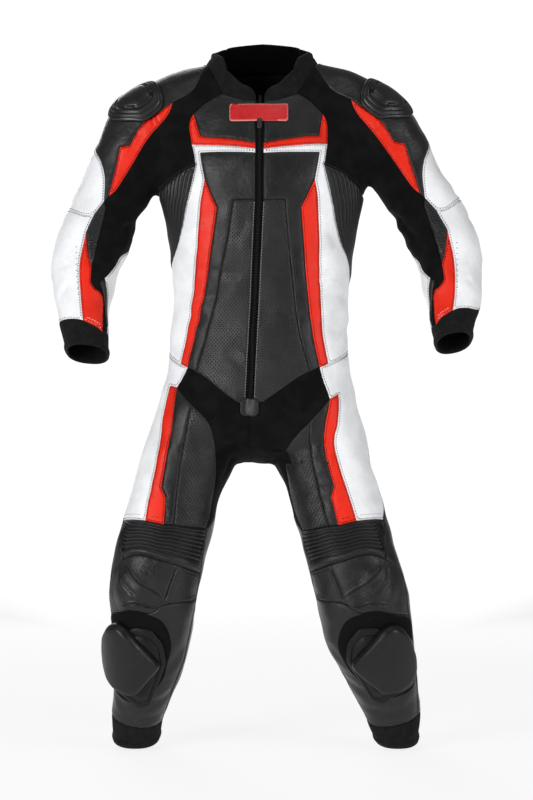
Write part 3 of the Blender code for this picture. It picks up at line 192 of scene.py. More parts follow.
# Two pieces that lie on the panels: how far the edge drops, thickness and lift
LOOP_TAPE = (0.7, 1.2, 1.6)
FORE_LEATHER = (0.8, 1.4, 1.7)
# A row of punched holes down the outer forearm, and how many
FORE_HOLES = (((-316, -286), (-315, -340), (-312, -368)), 9)
HOLE_SIZE = 1.1

# Stitches: the second row on the zip's tab lies further in
STITCH_PITCH = 4.6
STITCH_LENGTH = 3.2
STITCH_WIDE = 0.75
STITCH_HIGH = 0.65
STITCH_INSET = 2.7
TAB_SECOND_INSET = 2.2 * STITCH_INSET
THREAD = {"leather_black": "thread_black", "leather_red": "thread_red", "leather_white": "thread_white",
          "stretch_black": None, "knit_black": None}
# Stitched pieces outside PAIRED, and the slot of each thread
LAID_CLOTH = {"back": "leather_black", "zip_tab": "leather_black"}
THREAD_SLOT = {"thread_black": "leather_black", "thread_grey": "leather_black",
               "thread_white": "leather_white", "thread_red": "leather_red",
               "thread_pale": "leather_white"}
# More rows of stitches: piece, seam, distance from it, thread
STITCH_ROWS = (
    ("thigh_white", "knee_a", 9.0, "thread_white"),
    ("thigh_red", "knee_b", 9.0, "thread_red"),
    ("thigh_side", "knee_c", 9.0, "thread_black"),
    ("thigh_front", "knee_d", 9.0, "thread_black"),
    ("fore_red", "fore_foot", 7.5, "thread_pale"),
    ("fore_red", "fore_foot", 2.7, "thread_pale"),
    ("shin", "hem_front", 10.0, "thread_black"),
    ("shin", "hem_front", 13.0, "thread_black"),
    ("front_upper", "panel_curve", 6.0, "thread_black"),
    ("knee_panel", "rib_lower", 6.0, "thread_black"),
    ("chest", "edge_yoke", 10.0, "thread_black"),
    ("front_upper", "edge_upper", 10.0, "thread_black"),
    ("front_lower", "edge_lower", 10.0, "thread_black"),
    ("front_white", "edge_white", 10.0, "thread_white"),
    ("yoke_red", "edge_red", 10.0, "thread_red"),
    ("front_lower", "edge_lower", 1.3, "thread_grey"),
)

# The front zip: teeth, pull, and heights of its ends and its slider
TOOTH = (2.9, 1.3, 1.3)
TOOTH_PITCH = 2.6
ZIP_PULL = ((0, 0), (3.2, -1.5), (4.0, -9), (3.6, -17), (0, -19.5), (-3.6, -17), (-4.0, -9),
            (-3.2, -1.5))
ZIP_TOP = -36.0
ZIP_FOOT = -552.0
SLIDER_HEIGHT = -79.0
ZIP_SLIDER = (9.0, 13.0, 3.0)
PATCH_CLEAR = 1.5
PATCH_STEP = 2.4
PATCH_EDGE = 2.5
BADGE_BORDER = 1.1

HOLE_PITCH = 4.6
HOLE_RADIUS = 1.05
KNIT_PITCH = 3.0

# Colours, each with the tone that it wears to; white's darker second tone, near seams and in creases, is
# dirt and painted shade
BLACK = (0.0095, 0.0095, 0.0102, 1)
PERFORATED = (0.0120, 0.0120, 0.0128, 1)
PERFORATED_RIM = (0.030, 0.030, 0.032, 1)
BLACK_WORN = (0.030, 0.030, 0.032, 1)
RED = (0.71, 0.014, 0.001, 1)
RED_WORN = (0.84, 0.035, 0.006, 1)
WHITE = (0.80, 0.81, 0.83, 1)
# darker white near seams and in creases: dirt and painted shade
WHITE_DIRT_AND_SHADE = (0.66, 0.67, 0.68, 1)
PATCH_RED = (0.46, 0.004, 0.007, 1)
PATCH_RED_WORN = (0.62, 0.02, 0.02, 1)
STRETCH_DARK = (0.0025, 0.0025, 0.0027, 1)
STRETCH_LIGHT = (0.0055, 0.0055, 0.006, 1)
STRETCH_FLECK = (0.010, 0.010, 0.0105, 1)
KNIT_DARK = (0.0035, 0.0035, 0.0037, 1)
KNIT_LIGHT = (0.010, 0.010, 0.0105, 1)

# The studio: the floor's height in millimetres, and the rest in metres
FLOOR_HEIGHT = -1150.0
FLOOR_SIZE = 60.0
# How far out the floor turns from paint to the air's own light
FLOOR_FADE = (1.0, 3.4)
# How far out the floor itself glows, and its least share of glow
FLOOR_NEAR = (1.8, 4.5)
FLOOR_GLOW = 0.8
CAMERA_PLACE = (0.011, -3.6, -0.55)
CAMERA_LENS = 94.2
AIR_COLOUR = (1.0, 1.0, 1.0, 1)
# The air's light: from and to how far a direction points behind the suit, and its strengths
WORLD_LIGHT = (0.82, 0.968, 0.2, 1.04)
LIGHTS = (
    # name, place, aim, size, power
    ("key_softbox", (-2.3, -2.9, 0.0), (0, 0, -0.65), (1.2, 2.0), 92),
    ("fill_softbox", (2.8, -2.2, 0.2), (0, 0, -0.7), (1.0, 2.2), 48),
    ("top_softbox", (0.2, -1.2, 2.2), (0, 0, -0.4), (1.6, 0.8), 9),
    ("rear_softbox", (-1.0, 2.8, 1.4), (0, 0, -0.5), (1.6, 2.0), 36),
)

# Torso rings, level: height, centre across, half width, depth to front and to back, turn in degrees
TORSO = (
    # z, x, half, front, back, turn
    (45, 3, 70, 34, 66, 2),
    (31, 3, 79, 42, 74, 2),
    (9, 3, 88, 55, 84, 2),
    (-17, 3, 98, 68, 93, 2),
    (-43, 3, 112, 80, 100, 2),
    (-77, 3, 138, 92, 107, 2),
    (-112, 3, 160, 103, 112, 2),
    (-155, 3, 172, 112, 113, 2),
    (-206, 3, 172, 114, 108, 2),
    (-249, 3, 162, 112, 102, 3),
    (-292, 3, 156, 108, 97, 4),
    (-344, 2, 152, 104, 94, 5),
    (-396, 1, 150, 101, 95, 6),
    (-447, -2, 152, 102, 102, 6),
    (-490, -2, 156, 103, 110, 6),
    (-533, -5, 160, 100, 114, 6),
    (-568, -8, 156, 92, 110, 6),
    (-602, -9, 140, 78, 96, 6),
)

# Limb rings, level on both sides: the right limb's outer and inner point as seen from the front, the
# left one's, how far forward (-) the middles lie, half depth, and the left cut's turn in degrees
# xo, zo, xi, zi, xo, zo, xi, zi, y, depth, turn
SLEEVES = (
    (-38, 24, -38, -140, 42, 24, 42, -140, 8, 56, 0),
    (-70, 24, -68, -148, 74, 24, 72, -148, 6, 64, 0),
    (-112, 21, -103, -158, 117, 24, 110, -158, 6, 72, 0),
    (-163, 5, -151, -175, 169, 9, 158, -168, 4, 76, 0),
    (-215, -22, -172, -181, 217, -19, 182, -172, 0, 74, 0),
    (-256, -55, -179, -188, 256, -52, 191, -178, -4, 68, 0),
    (-277, -108, -186, -198, 284, -100, 200, -192, -8, 63, 0),
    (-298, -158, -194, -217, 306, -151, 212, -211, -12, 61, 0),
    (-318, -206, -205, -230, 330, -189, 225, -234, -16, 60, 0),
    (-337, -251, -213, -255, 353, -230, 239, -261, -22, 61, 0),
    (-349, -292, -222, -284, 370, -272, 255, -292, -32, 61, 0),
    (-353, -330, -236, -316, 375, -313, 268, -323, -46, 56, 0),
    (-348, -372, -246, -358, 375, -354, 275, -361, -63, 50, 0),
    (-339, -409, -254, -399, 372, -389, 284, -396, -80, 44, 0),
    (-332, -439, -254, -439, 361, -416, 286, -430, -95, 41, 0),
    (-323, -468, -252, -475, 353, -447, 292, -459, -109, 39, 0),
)
LEGS = (
    (14, -520, 10, -642, -34, -520, -26, -650, 2, 90, -18),
    (-95, -502, -24, -640, 83, -502, 10, -655, 2, 96, -18),
    (-151, -530, -29, -640, 148, -530, 15, -657, 1, 96, -18),
    (-179, -576, -33, -640, 170, -576, 21, -659, -1, 93, -19),
    (-194, -619, -36, -645, 182, -619, 26, -662, -5, 89, -20),
    (-208, -667, -50, -674, 191, -664, 36, -679, -14, 84, -20),
    (-222, -719, -71, -714, 205, -712, 52, -717, -26, 79, -16),
    (-234, -757, -77, -760, 217, -757, 62, -762, -36, 76, -12),
    (-246, -805, -91, -812, 230, -805, 76, -812, -46, 74, -6),
    (-253, -851, -103, -863, 244, -851, 88, -860, -52, 73, -6),
    (-253, -898, -112, -915, 255, -898, 101, -912, -50, 71, -10),
    (-251, -949, -119, -963, 261, -949, 112, -960, -38, 67, -15),
    (-249, -1006, -134, -1018, 267, -1001, 138, -1004, -20, 60, -15),
    (-251, -1058, -155, -1066, 272, -1053, 162, -1056, -2, 52, -12),
    (-255, -1094, -167, -1097, 275, -1094, 182, -1096, 8, 47, -10),
    (-253, -1132, -174, -1132, 273, -1132, 198, -1132, 18, 45, -10),
)


# ---------------------------------------------------------------- lines and curves
def unit(v):
    return v / np.maximum(np.linalg.norm(v, axis=-1, keepdims=True), 1e-12)


def bell(value, middle, width):
    return np.exp(-(((value - middle) / width) ** 2))


def spline(a, b, c, d, t):
    """Catmull-Rom: from b to c over t, with a before them and d after."""
    return 0.5 * (2 * b + (c - a) * t + (2 * a - 5 * b + 4 * c - d) * t**2
                  + (3 * b - a - 3 * c + d) * t**3)


def smooth_rows(table, steps):
    """The table's rows with `steps` smooth ones to each."""
    rows = np.array(table, float)
    ends = np.vstack([2 * rows[0] - rows[1], rows, 2 * rows[-1] - rows[-2]])
    at = np.linspace(0, len(rows) - 1, steps * (len(rows) - 1) + 1)
    i = np.minimum(at.astype(int), len(rows) - 2)
    return spline(ends[i], ends[i + 1], ends[i + 2], ends[i + 3], (at - i)[:, None])


def smooth_line(knots, parts, closed=False):
    """The line with `parts` smooth steps to each of its own. If closed, its ends are one knot."""
    before, after = (knots[-2], knots[1]) if closed else (2 * knots[0] - knots[1],
                                                          2 * knots[-1] - knots[-2])
    ends = np.vstack([before, knots, after])
    t = (np.arange(parts) / parts)[None, :, None]
    fine = spline(*(ends[k:len(knots) - 1 + k, None] for k in range(4)), t)
    return np.vstack([fine.reshape(-1, knots.shape[1]), knots[-1:]])


def steps_of(line, closed=False):
    """Length of each step along a line of points, or all round a closed one."""
    after = np.roll(line, -1, axis=0) if closed else line[1:]
    return np.linalg.norm(after - line[:len(after)], axis=1)


def run_of(line):
    """Length along a line up to each of its points."""
    return np.concatenate([[0], np.cumsum(steps_of(line))])


def evenly(line, count):
    """`count` + 1 points at even steps along a line."""
    run = run_of(line)
    at = np.linspace(0, run[-1], count + 1)
    return np.stack([np.interp(at, run, line[:, k]) for k in range(line.shape[1])], 1)


def through(knots, spacing):
    """Points at even steps of about `spacing` along a smooth line through the knots."""
    knots = np.array(knots, float)
    line = smooth_line(knots, 12) if len(knots) > 2 else knots
    return evenly(line, max(1, math.ceil(steps_of(line).sum() / spacing - 0.2)))


def from_step(p, a, b):
    """Where points lie along the straight step from a to b, from 0 to 1, and their distance from it."""
    way = b - a
    t = np.clip((p - a) @ way / max(way @ way, 1e-9), 0, 1)
    return t, np.linalg.norm(p - a - t[:, None] * way, axis=1)


# ---------------------------------------------------------------- the five hollow forms
class Tube:
    """A hollow form: rings with a centre, an across and a front direction, and their half sizes."""

    STEPS = 6

    def __init__(self, name, centre, across, front, half, fore, aft, turn, cap):
        self.name = name
        self.centre, self.across, self.front = centre, unit(across), unit(front)
        self.half, self.fore, self.aft, self.turn, self.cap = half, fore, aft, turn, cap
        normal = unit(np.cross(self.across, self.front))
        flow = np.gradient(centre, axis=0)
        self.normal = normal * np.sign((normal * flow).sum(1))[:, None]
        self.along = run_of(centre)

    def rings(self, s):
        """Centre, across, front, half, fore, aft, turn and length along at ring numbers s."""
        at = np.clip(np.asarray(s, float) * self.STEPS, 0, len(self.half) - 1)
        i = np.minimum(at.astype(int), len(self.half) - 2)
        t = at - i
        out = []
        for values in (self.centre, self.across, self.front, self.half, self.fore, self.aft,
                       self.turn, self.along):
            w = t[..., None] if values.ndim == 2 else t
            out.append(values[i] * (1 - w) + values[i + 1] * w)
        out[1], out[2] = unit(out[1]), unit(out[2])
        return out

    def station(self, p):
        """Ring number, and how far past either end, of each point."""
        g = p @ self.normal.T - (self.centre * self.normal).sum(1)
        crossing = (g[:, :-1] >= 0) & (g[:, 1:] < 0)
        far = ((p**2).sum(1)[:, None] - 2 * p @ self.centre[:-1].T + (self.centre[:-1] ** 2).sum(1))
        i = np.argmin(np.where(crossing, far, 1e18), axis=1)
        rows = np.arange(len(p))
        t = g[rows, i] / np.maximum(g[rows, i] - g[rows, i + 1], 1e-9)
        at = i + np.clip(t, 0, 1)
        none = ~crossing.any(1)
        before = none & (g[:, 0] < 0)
        after = none & ~before
        at = np.where(before, 0, np.where(after, len(self.half) - 1, at))
        past = np.where(before, -g[:, 0], np.where(after, g[:, -1], 0))
        return at / self.STEPS, past

    def field(self, p):
        """About how far each point lies outside the form, negative inside."""
        s, past = self.station(p)
        centre, across, front, half, fore, aft, _, _ = self.rings(s)
        q = p - centre
        w, v = (q * across).sum(1), (q * front).sum(1)
        deep = np.where(v > 0, fore, aft)
        ratio = (np.abs(w / half) ** BULGE + np.abs(v / deep) ** BULGE
                 + np.abs(past / self.cap) ** BULGE) ** (1 / BULGE)
        return np.sqrt(w**2 + v**2 + past**2) * (1 - 1 / np.maximum(ratio, 1e-6))

    def locate(self, p):
        """Angle of the cut (0 front, 90 outer side, 180 back) and ring number of each point."""
        s, _ = self.station(p)
        centre, across, front, _, _, _, turn, _ = self.rings(s)
        q = p - centre
        return np.degrees(np.arctan2((q * across).sum(1), (q * front).sum(1))) - turn, s

    def length_at(self, s):
        """Length along the form at ring numbers s."""
        return np.interp(s * self.STEPS, np.arange(len(self.along)), self.along)

    def ring_of(self, length):
        """Ring numbers at lengths along the form."""
        return np.interp(length, self.along, np.arange(len(self.along))) / self.STEPS

    def radius(self, s):
        """Mean half size of the cuts at ring numbers s."""
        _, _, _, half, fore, *_ = self.rings(np.atleast_1d(s))
        return float(np.mean(half + fore) / 2)


def torso_tube(table):
    rows = smooth_rows(table, Tube.STEPS)
    z, x, half, fore, aft, turn = rows.T
    yaw = np.radians(turn)
    nil = np.zeros_like(z)
    across = np.stack([np.cos(yaw), -np.sin(yaw), nil], 1)
    front = np.stack([-np.sin(yaw), -np.cos(yaw), nil], 1)
    return Tube("torso", np.stack([x, nil, z], 1), across, front, half, fore, aft, nil, 40.0)


def limb_tube(name, table, cap):
    rows = smooth_rows(table, Tube.STEPS).T
    left = name.endswith("_l")
    xo, zo, xi, zi = rows[4:8] if left else rows[:4]
    y, depth, turn = rows[8:]
    nil = np.zeros_like(y)
    outer, inner = np.stack([xo, nil, zo], 1), np.stack([xi, nil, zi], 1)
    across = unit(outer - inner)
    centre = (outer + inner) / 2
    centre[:, 1] = y
    flow = unit(np.gradient(centre, axis=0))
    front = unit(np.cross(flow, across))
    front *= -np.sign(front[:, 1])[:, None]
    half = np.linalg.norm(outer - inner, axis=1) / 2
    return Tube(name, centre, across, front, half, depth, depth, turn * left, cap)


TUBES = {"torso": torso_tube(TORSO)}
for limb, table, end_reach in (("sleeve", SLEEVES, 30.0), ("leg", LEGS, 20.0)):
    for name in (f"{limb}_r", f"{limb}_l"):
        TUBES[name] = limb_tube(name, table, end_reach)


def tube_of(form, side):
    return TUBES["torso" if form == "torso" else f"{form}_{side}"]


def facing(form, side):
    """The sign of a cut angle, which runs both ways round the torso and outward round a limb."""
    return -1 if form == "torso" and side == "r" else 1


def blend(a, b, width):
    h = np.maximum(width - np.abs(a - b), 0) / width
    return np.minimum(a, b) - h**2 * width / 4


for tube in TUBES.values():
    widest = REACH + max(tube.half.max(), tube.fore.max(), tube.aft.max())
    tube.low, tube.high = tube.centre.min(0) - widest, tube.centre.max(0) + widest


def skin(p):
    """The whole suit's outer skin: zero on it, negative inside. Far forms are left out."""
    p = np.atleast_2d(np.asarray(p, float))
    low, high = p.min(0), p.max(0)
    fields = {}
    for name, tube in TUBES.items():
        if np.all(low < tube.high) and np.all(high > tube.low):
            fields[name] = tube.field(p)
    far = np.full(len(p), FAR)
    legs = blend(fields.get("leg_r", far), fields.get("leg_l", far), BLEND_LEG)
    body = blend(fields.get("torso", far), legs, BLEND_LEG)
    body = blend(body, fields.get("sleeve_r", far), BLEND_ARM)
    return blend(body, fields.get("sleeve_l", far), BLEND_ARM)


def in_chunks(work, *arrays):
    """A function of rows of points, worked out in chunks side by side."""
    count = len(arrays[0])
    if count <= CHUNK:
        return work(*arrays)
    starts = range(0, count, CHUNK)
    with ThreadPoolExecutor(4) as pool:
        parts = list(pool.map(lambda k: work(*[a[k:k + CHUNK] for a in arrays]), starts))
    if isinstance(parts[0], tuple):
        return tuple(np.concatenate(column) for column in zip(*parts))
    return np.concatenate(parts)


def outward(p):
    """Unit normal of the skin at each point."""
    step = 1.0
    return unit(np.stack([skin(p + step * e) - skin(p - step * e) for e in np.eye(3)], 1))


def on_skin(p, rounds=4):
    """Points moved onto the skin along its normal."""
    for _ in range(rounds):
        p = p - skin(p)[:, None] * outward(p)
    return p


def first_hit(start, way, reach, step, entering):
    """Where rays first meet the skin, going in from outside or out from inside."""
    count = int(reach / step) + 1
    at = np.linspace(0, reach, count)
    sign = 1 if entering else -1
    values = np.stack([sign * skin(start + r * way) for r in at], 1)
    below = values < 0
    below[:, 0] = False
    hit = np.argmax(below, axis=1)
    missed = ~below.any(1)
    hit[missed] = np.argmin(np.abs(values[missed]), axis=1)
    lo, hi = at[np.maximum(hit - 1, 0)], at[hit]
    for _ in range(12):
        mid = (lo + hi) / 2
        inside = sign * skin(start + mid[:, None] * way) < 0
        hi = np.where(inside, mid, hi)
        lo = np.where(inside, lo, mid)
    r = np.where(missed, at[hit], hi)
    return start + r[:, None] * way, missed


def cast(tube, angle, s):
    """Skin points at cut angle (degrees) and ring number on a tube."""
    angle, s = np.atleast_1d(angle).astype(float), np.atleast_1d(s).astype(float)
    centre, across, front, _, _, _, turn, _ = tube.rings(s)
    a = np.radians(angle + turn)[:, None]
    way = np.cos(a) * front + np.sin(a) * across
    return first_hit(centre, way, *CAST_RAY, entering=False)[0]


def cast_many(tube, angle, s):
    return in_chunks(lambda a, r: cast(tube, a, r), angle, s)


def seen(x, z):
    """Skin points that cover (x, z) of the middle plane as seen from the front."""
    eye = np.array(VIEW)
    goal = np.stack([np.atleast_1d(x), np.zeros(np.size(x)), np.atleast_1d(z)], 1).astype(float)
    way = unit(goal - eye)
    start = goal - way * SEEN_START
    point, missed = first_hit(start, way, *SEEN_RAY, entering=True)
    point[missed] = on_skin(point[missed]) if missed.any() else point[missed]
    return point


# ---------------------------------------------------------------- seams
# The cut is the same on both sides. Two bare numbers are a place "seen": on the torso half the distance
# between the pair of points as it appears from the front, and the height; on a limb the place itself,
# on the right side.
# "round" gives the cut angle and, on the torso, the height, or on a limb the ring number.
# "near" gives a place by the torso: half the distance between the pair, depth from the front, height.
POINTS = {
    "torso": {
        "zip_top": (7, -33), "zip_yoke": (7, -107), "zip_red": (7, -117), "zip_white": (7, -124),
        "zip_waist": (7, -205), "zip_foot": (7, -557), "zip_point": ("round", 0, -561),
        "neck_yoke": (65, -21), "neck_flank": ("near", 88, -24, 14), "neck_aft": ("near", 74, 60, 25),
        "neck_back": ("near", 0, 79, 28), "red_tip": (111, -57), "red_foot": (117, -110),
        "band_foot": (114, -124), "rib_corner": (111, -146), "armpit": ("near", 176, -6, -202),
        "rib_aft": ("round", 134, -150), "rib_foot": ("round", 102, -360), "yoke_corner": (103, -95),
        "upper_corner": (103, -124), "stripe_tip": (95, -170), "stripe_kink": (73, -219),
        "panel_top": (45, -205), "panel_foot": (99, -501), "stripe_in": (114, -494),
        "stripe_out": (127, -488), "hip_side": ("round", 108, -466), "hip_back": ("round", 180, -500),
        "crotch": ("near", 0, -10, -655), "crotch_aft": ("near", 0, 52, -640),
    },
    "sleeve": {
        "flash_tip": (-150, -38), "flash_notch": (-224, -112), "flash_step": (-241, -115),
        "flash_foot": (-260, -200), "elbow_top": (-268, -208), "elbow_foot": (-289, -320),
        "elbow_white": (-285, -230), "fore_tip": (-299, -261), "white_top": ("round", 92, 6.1),
        "elbow_aft": ("round", 138, 8.6), "elbow_back": ("round", -150, 8.6), "fore_out": (-304, -413),
        "fore_in": (-270, -433), "gusset": ("round", -48, 12.0), "cuff_in": ("round", -82, 14.0),
    },
    "leg": {
        "notch_in": (-144, -528), "notch_out": (-155, -525), "thigh_out": (-198, -757),
        "thigh_kink": (-170, -700), "thigh_step": (-162, -717), "thigh_in": (-165, -764),
        "panel_hip": (-119, -557), "panel_knee": (-148, -765), "knee_side": ("round", 70, 7.05),
        "knee_inner": (-93, -771), "knee_low": (-104, -848), "knee_out": (-237, -824),
        "shin_in": (-110, -891), "shin_out": ("round", 78, 10.15), "hem_in": ("round", -70, 14.0),
        "hem_out": ("round", 72, 13.75),
    },
}

# Each seam by its form, with its two end points and then the places between them
SEAMS = {
    "torso": {
        "neck_front": ("zip_top", "neck_yoke", (34, -31)),
        "neck_stretch": ("neck_yoke", "neck_flank"),
        "neck_shoulder": ("neck_flank", "neck_aft", ("near", 97, 14, 26)),
        "neck_rear": ("neck_aft", "neck_back", ("near", 40, 76, 27)),
        "edge_yoke": ("zip_top", "zip_yoke"),
        "edge_red": ("zip_yoke", "zip_red"),
        "edge_white": ("zip_red", "zip_white"),
        "edge_upper": ("zip_white", "zip_waist"),
        "edge_lower": ("zip_waist", "zip_foot"),
        "zip_end": ("zip_foot", "zip_point"),
        "raglan_high": ("neck_yoke", "red_tip", (95, -41)),
        "raglan_red": ("red_tip", "red_foot", (119, -77)),
        "raglan_band": ("red_foot", "band_foot"),
        "raglan_low": ("band_foot", "rib_corner"),
        "rib_top": ("rib_corner", "armpit", (144, -162)),
        "rib_top_aft": ("armpit", "rib_aft", ("round", 112, -180)),
        "raglan_back": ("rib_aft", "neck_aft", ("round", 138, -105), ("round", 140, -55)),
        "red_inside": ("red_tip", "yoke_corner"),
        "red_above": ("yoke_corner", "zip_yoke"),
        "red_below": ("zip_red", "red_foot"),
        "band_below": ("zip_white", "upper_corner"),
        "upper_side": ("upper_corner", "stripe_tip"),
        "stripe_bend": ("stripe_tip", "stripe_kink"),
        "stripe_inner": ("stripe_kink", "stripe_in", (79, -275), (87, -350), (96, -410), (104, -450)),
        "stripe_outer": ("stripe_tip", "stripe_out", (101, -206), (105, -275), (110, -370), (117, -435)),
        "panel_high": ("zip_waist", "panel_top"),
        "panel_curve": ("panel_top", "panel_foot", (52, -267), (61, -327), (70, -390), (82, -444)),
        "vee": ("panel_foot", "zip_foot", (77, -514), (28, -550)),
        "vee_corner": ("panel_foot", "stripe_in"),
        "stripe_foot": ("stripe_in", "stripe_out"),
        "hip_front": ("stripe_out", "hip_side", ("round", 82, -472)),
        "hip_rear": ("hip_side", "hip_back", ("round", 145, -482)),
        "rib_front": ("rib_corner", "rib_foot", (125, -206), (140, -275)),
        "rib_rear": ("rib_foot", "rib_aft", ("round", 117, -275), ("round", 128, -206)),
        "side_rear": ("rib_foot", "hip_side"),
        "crotch_front": ("zip_point", "crotch", ("near", 0, -88, -600), ("near", 0, -60, -636)),
        "crotch_under": ("crotch", "crotch_aft"),
        "crotch_rear": ("crotch_aft", "hip_back", ("near", 0, 100, -600), ("near", 0, 114, -550)),
    },
    "sleeve": {
        "shoulder_front": ("neck_flank", "flash_tip", (-115, -15)),
        "flash_top": ("flash_tip", "flash_notch", (-172, -53), (-203, -76)),
        "flash_ledge": ("flash_notch", "flash_step"),
        "flash_out": ("flash_step", "flash_foot", (-246, -141)),
        "flash_low": ("flash_tip", "flash_foot", (-160, -62), (-193, -101), (-220, -146), (-246, -187)),
        "shoulder_foot": ("flash_foot", "elbow_top"),
        "white_front": ("white_top", "elbow_top", (-275, -139), (-267, -167)),
        "white_rear": ("white_top", "elbow_aft", ("round", 122, 6.6), ("round", 136, 7.6)),
        "rib_in": ("elbow_top", "elbow_foot", (-265, -219), (-277, -272)),
        "rib_high": ("elbow_top", "elbow_white"),
        "rib_mid": ("elbow_white", "fore_tip"),
        "rib_low": ("fore_tip", "elbow_foot", (-297, -290)),
        "elbow_seam": ("elbow_white", "elbow_aft", (-306, -231), ("round", 92, 8.45)),
        "elbow_rear": ("elbow_aft", "elbow_back", ("round", 178, 8.75)),
        "shoulder_rear": ("rib_aft", "elbow_back", ("round", -150, 5.6), ("round", -150, 7.2)),
        "fore_outer": ("fore_tip", "fore_out", (-310, -315), (-308, -370)),
        "fore_inner": ("elbow_foot", "fore_in", (-289, -352), (-268, -376)),
        "fore_foot": ("fore_out", "fore_in"),
        "gusset_high": ("elbow_back", "gusset", ("round", -116, 9.9), ("round", -88, 10.8)),
        "gusset_low": ("gusset", "cuff_in", ("round", -70, 12.8)),
        "cuff_front": ("fore_in", "cuff_in"),
        "cuff_rear": ("cuff_in", "fore_out", ("round", -130, 13.9), ("round", 180, 13.6),
                      ("round", 130, 13.4), ("round", 92, 13.3)),
    },
    "leg": {
        "notch": ("stripe_in", "notch_in"),
        "notch_foot": ("notch_in", "notch_out"),
        "thigh_white": ("notch_out", "thigh_out", (-167, -578), (-175, -638)),
        "thigh_red": ("notch_in", "thigh_kink", (-150, -578), (-159, -638)),
        "thigh_bend": ("thigh_kink", "thigh_step"),
        "thigh_foot": ("thigh_step", "thigh_in"),
        "panel_hip": ("notch_in", "panel_hip"),
        "panel_inner": ("panel_hip", "knee_inner", (-91, -585), (-78, -620), (-74, -660), (-80, -720)),
        "thigh_seam": ("panel_hip", "panel_knee", (-124, -585), (-135, -645), (-143, -710)),
        "knee_a": ("knee_side", "thigh_out"),
        "knee_b": ("thigh_out", "thigh_in"),
        "knee_c": ("thigh_in", "panel_knee"),
        "knee_d": ("panel_knee", "knee_inner", (-120, -769)),
        "white_back": ("hip_side", "knee_side", ("round", 112, 3.6), ("round", 108, 5.2),
                       ("round", 92, 6.4)),
        "stretch_back": ("crotch_aft", "knee_inner", ("round", -128, 4.4), ("round", -112, 5.5),
                         ("round", -84, 6.6)),
        "rib_inner": ("knee_inner", "knee_low"),
        "rib_outer": ("knee_side", "knee_out"),
        "rib_lower": ("knee_out", "knee_low", (-220, -817), (-196, -818), (-172, -826), (-141, -835),
                      (-120, -842)),
        "cap_inner": ("knee_low", "shin_in"),
        "cap_outer": ("knee_out", "shin_out", ("round", 76, 9.0)),
        "cap_lower": ("shin_out", "shin_in", (-225, -915), (-189, -917), (-160, -901)),
        "shin_inner": ("shin_in", "hem_in", (-122, -963), (-143, -1032)),
        "shin_outer": ("shin_out", "hem_out", ("round", 84, 11.2), ("round", 82, 12.6)),
        "hem_front": ("hem_out", "hem_in", ("round", 30, 13.9), ("round", -20, 14.05)),
        "hem_rear": ("hem_in", "hem_out", ("round", -125, 13.9), ("round", 180, 13.8),
                     ("round", 125, 13.75)),
    },
}

# The largest folds: a soft trough between two places by the skin, its half width and depth
FOLDS = (
    # x0, y0, z0, x1, y1, z1, width, depth
    (-24, -100, -552, -34, -66, -628, 11, 7),
    (20, -100, -575, 46, -58, -650, 14, 5),
    (-150, -60, -120, -168, -62, -176, 14, 4),
    (-226, -66, -280, -232, -30, -236, 12, 5),
    (262, -78, -290, 240, -40, -250, 12, 5),
    (-170, 60, -852, -120, 70, -860, 12, 5),
    (120, 70, -862, 180, 62, -850, 12, 5),
)


def spot(place):
    """A table's place with its kind."""
    return place if isinstance(place[0], str) else ("seen", *place)


POINTS = {form: {name: spot(place) for name, place in points.items()}
          for form, points in POINTS.items()}
SEAMS = {form: {name: (start, end, [spot(place) for place in between])
                for name, (start, end, *between) in seams.items()}
         for form, seams in SEAMS.items()}


def covered(p):
    """Where points appear on the middle plane from the front."""
    eye = np.array(VIEW)
    return eye + (p - eye) * (eye[1] / (eye[1] - p[:, 1]))[:, None]


def ring_at(z):
    torso = TUBES["torso"]
    return np.interp(-z, -torso.centre[:, 2], np.arange(len(torso.half))) / Tube.STEPS


def places(form):
    """Every table place of one form."""
    found = list(POINTS[form].values())
    for _, _, between in SEAMS[form].values():
        found += between
    return sorted(set(found), key=str)


def cuts(form, wheres):
    """Cut angles and ring numbers of table places, shared by both sides."""
    kind = np.array([w[0] == "seen" for w in wheres])
    first, second = (np.array([w[k] for w in wheres], float) for k in (1, 2))
    angle, ring = first.copy(), ring_at(second) if form == "torso" else second.copy()
    x, z = first[kind], second[kind]
    if form == "torso":
        torso = TUBES["torso"]
        middle = covered(cast(torso, 0 * z, ring_at(z)))[:, 0]
        right, ring_r = torso.locate(seen(middle - x, z))
        left, ring_l = torso.locate(seen(middle + x, z))
        angle[kind], ring[kind] = (left - right) / 2, (ring_l + ring_r) / 2
    else:
        angle[kind], ring[kind] = TUBES[form + "_r"].locate(seen(x, z))
    return angle, ring


def by_torso(wheres, sign):
    """Skin points from half the distance between a pair, depth and height."""
    _, half, depth, height = (np.array(column) for column in zip(*wheres))
    centre, across, front, *_ = TUBES["torso"].rings(ring_at(height))
    p = centre + across * (sign * half)[:, None] - front * depth[:, None]
    p[:, 2] = height
    return on_skin(p, 6)


def place_all():
    """The skin point of each table place, by form, place and side."""
    found = {}
    for form in POINTS:
        near = [w for w in places(form) if w[0] == "near"]
        other = [w for w in places(form) if w[0] != "near"]
        angle, ring = cuts(form, other)
        for side, sign in (("r", -1), ("l", 1)):
            turned = facing(form, side) * angle
            for w, p in zip(other, cast(tube_of(form, side), turned, ring)):
                found[form, w, side] = p
            if near:
                for w, p in zip(near, by_torso(near, sign)):
                    found[form, w, side] = p
    return found


def settle(lines, rounds):
    """The lines with all their inner points moved onto the skin."""
    inner = np.vstack([line[1:-1] for line in lines.values()])
    inner = in_chunks(lambda p: on_skin(p, rounds), inner)
    done = 0
    for line in lines.values():
        line[1:-1] = inner[done:done + len(line) - 2]
        done += len(line) - 2
    return lines


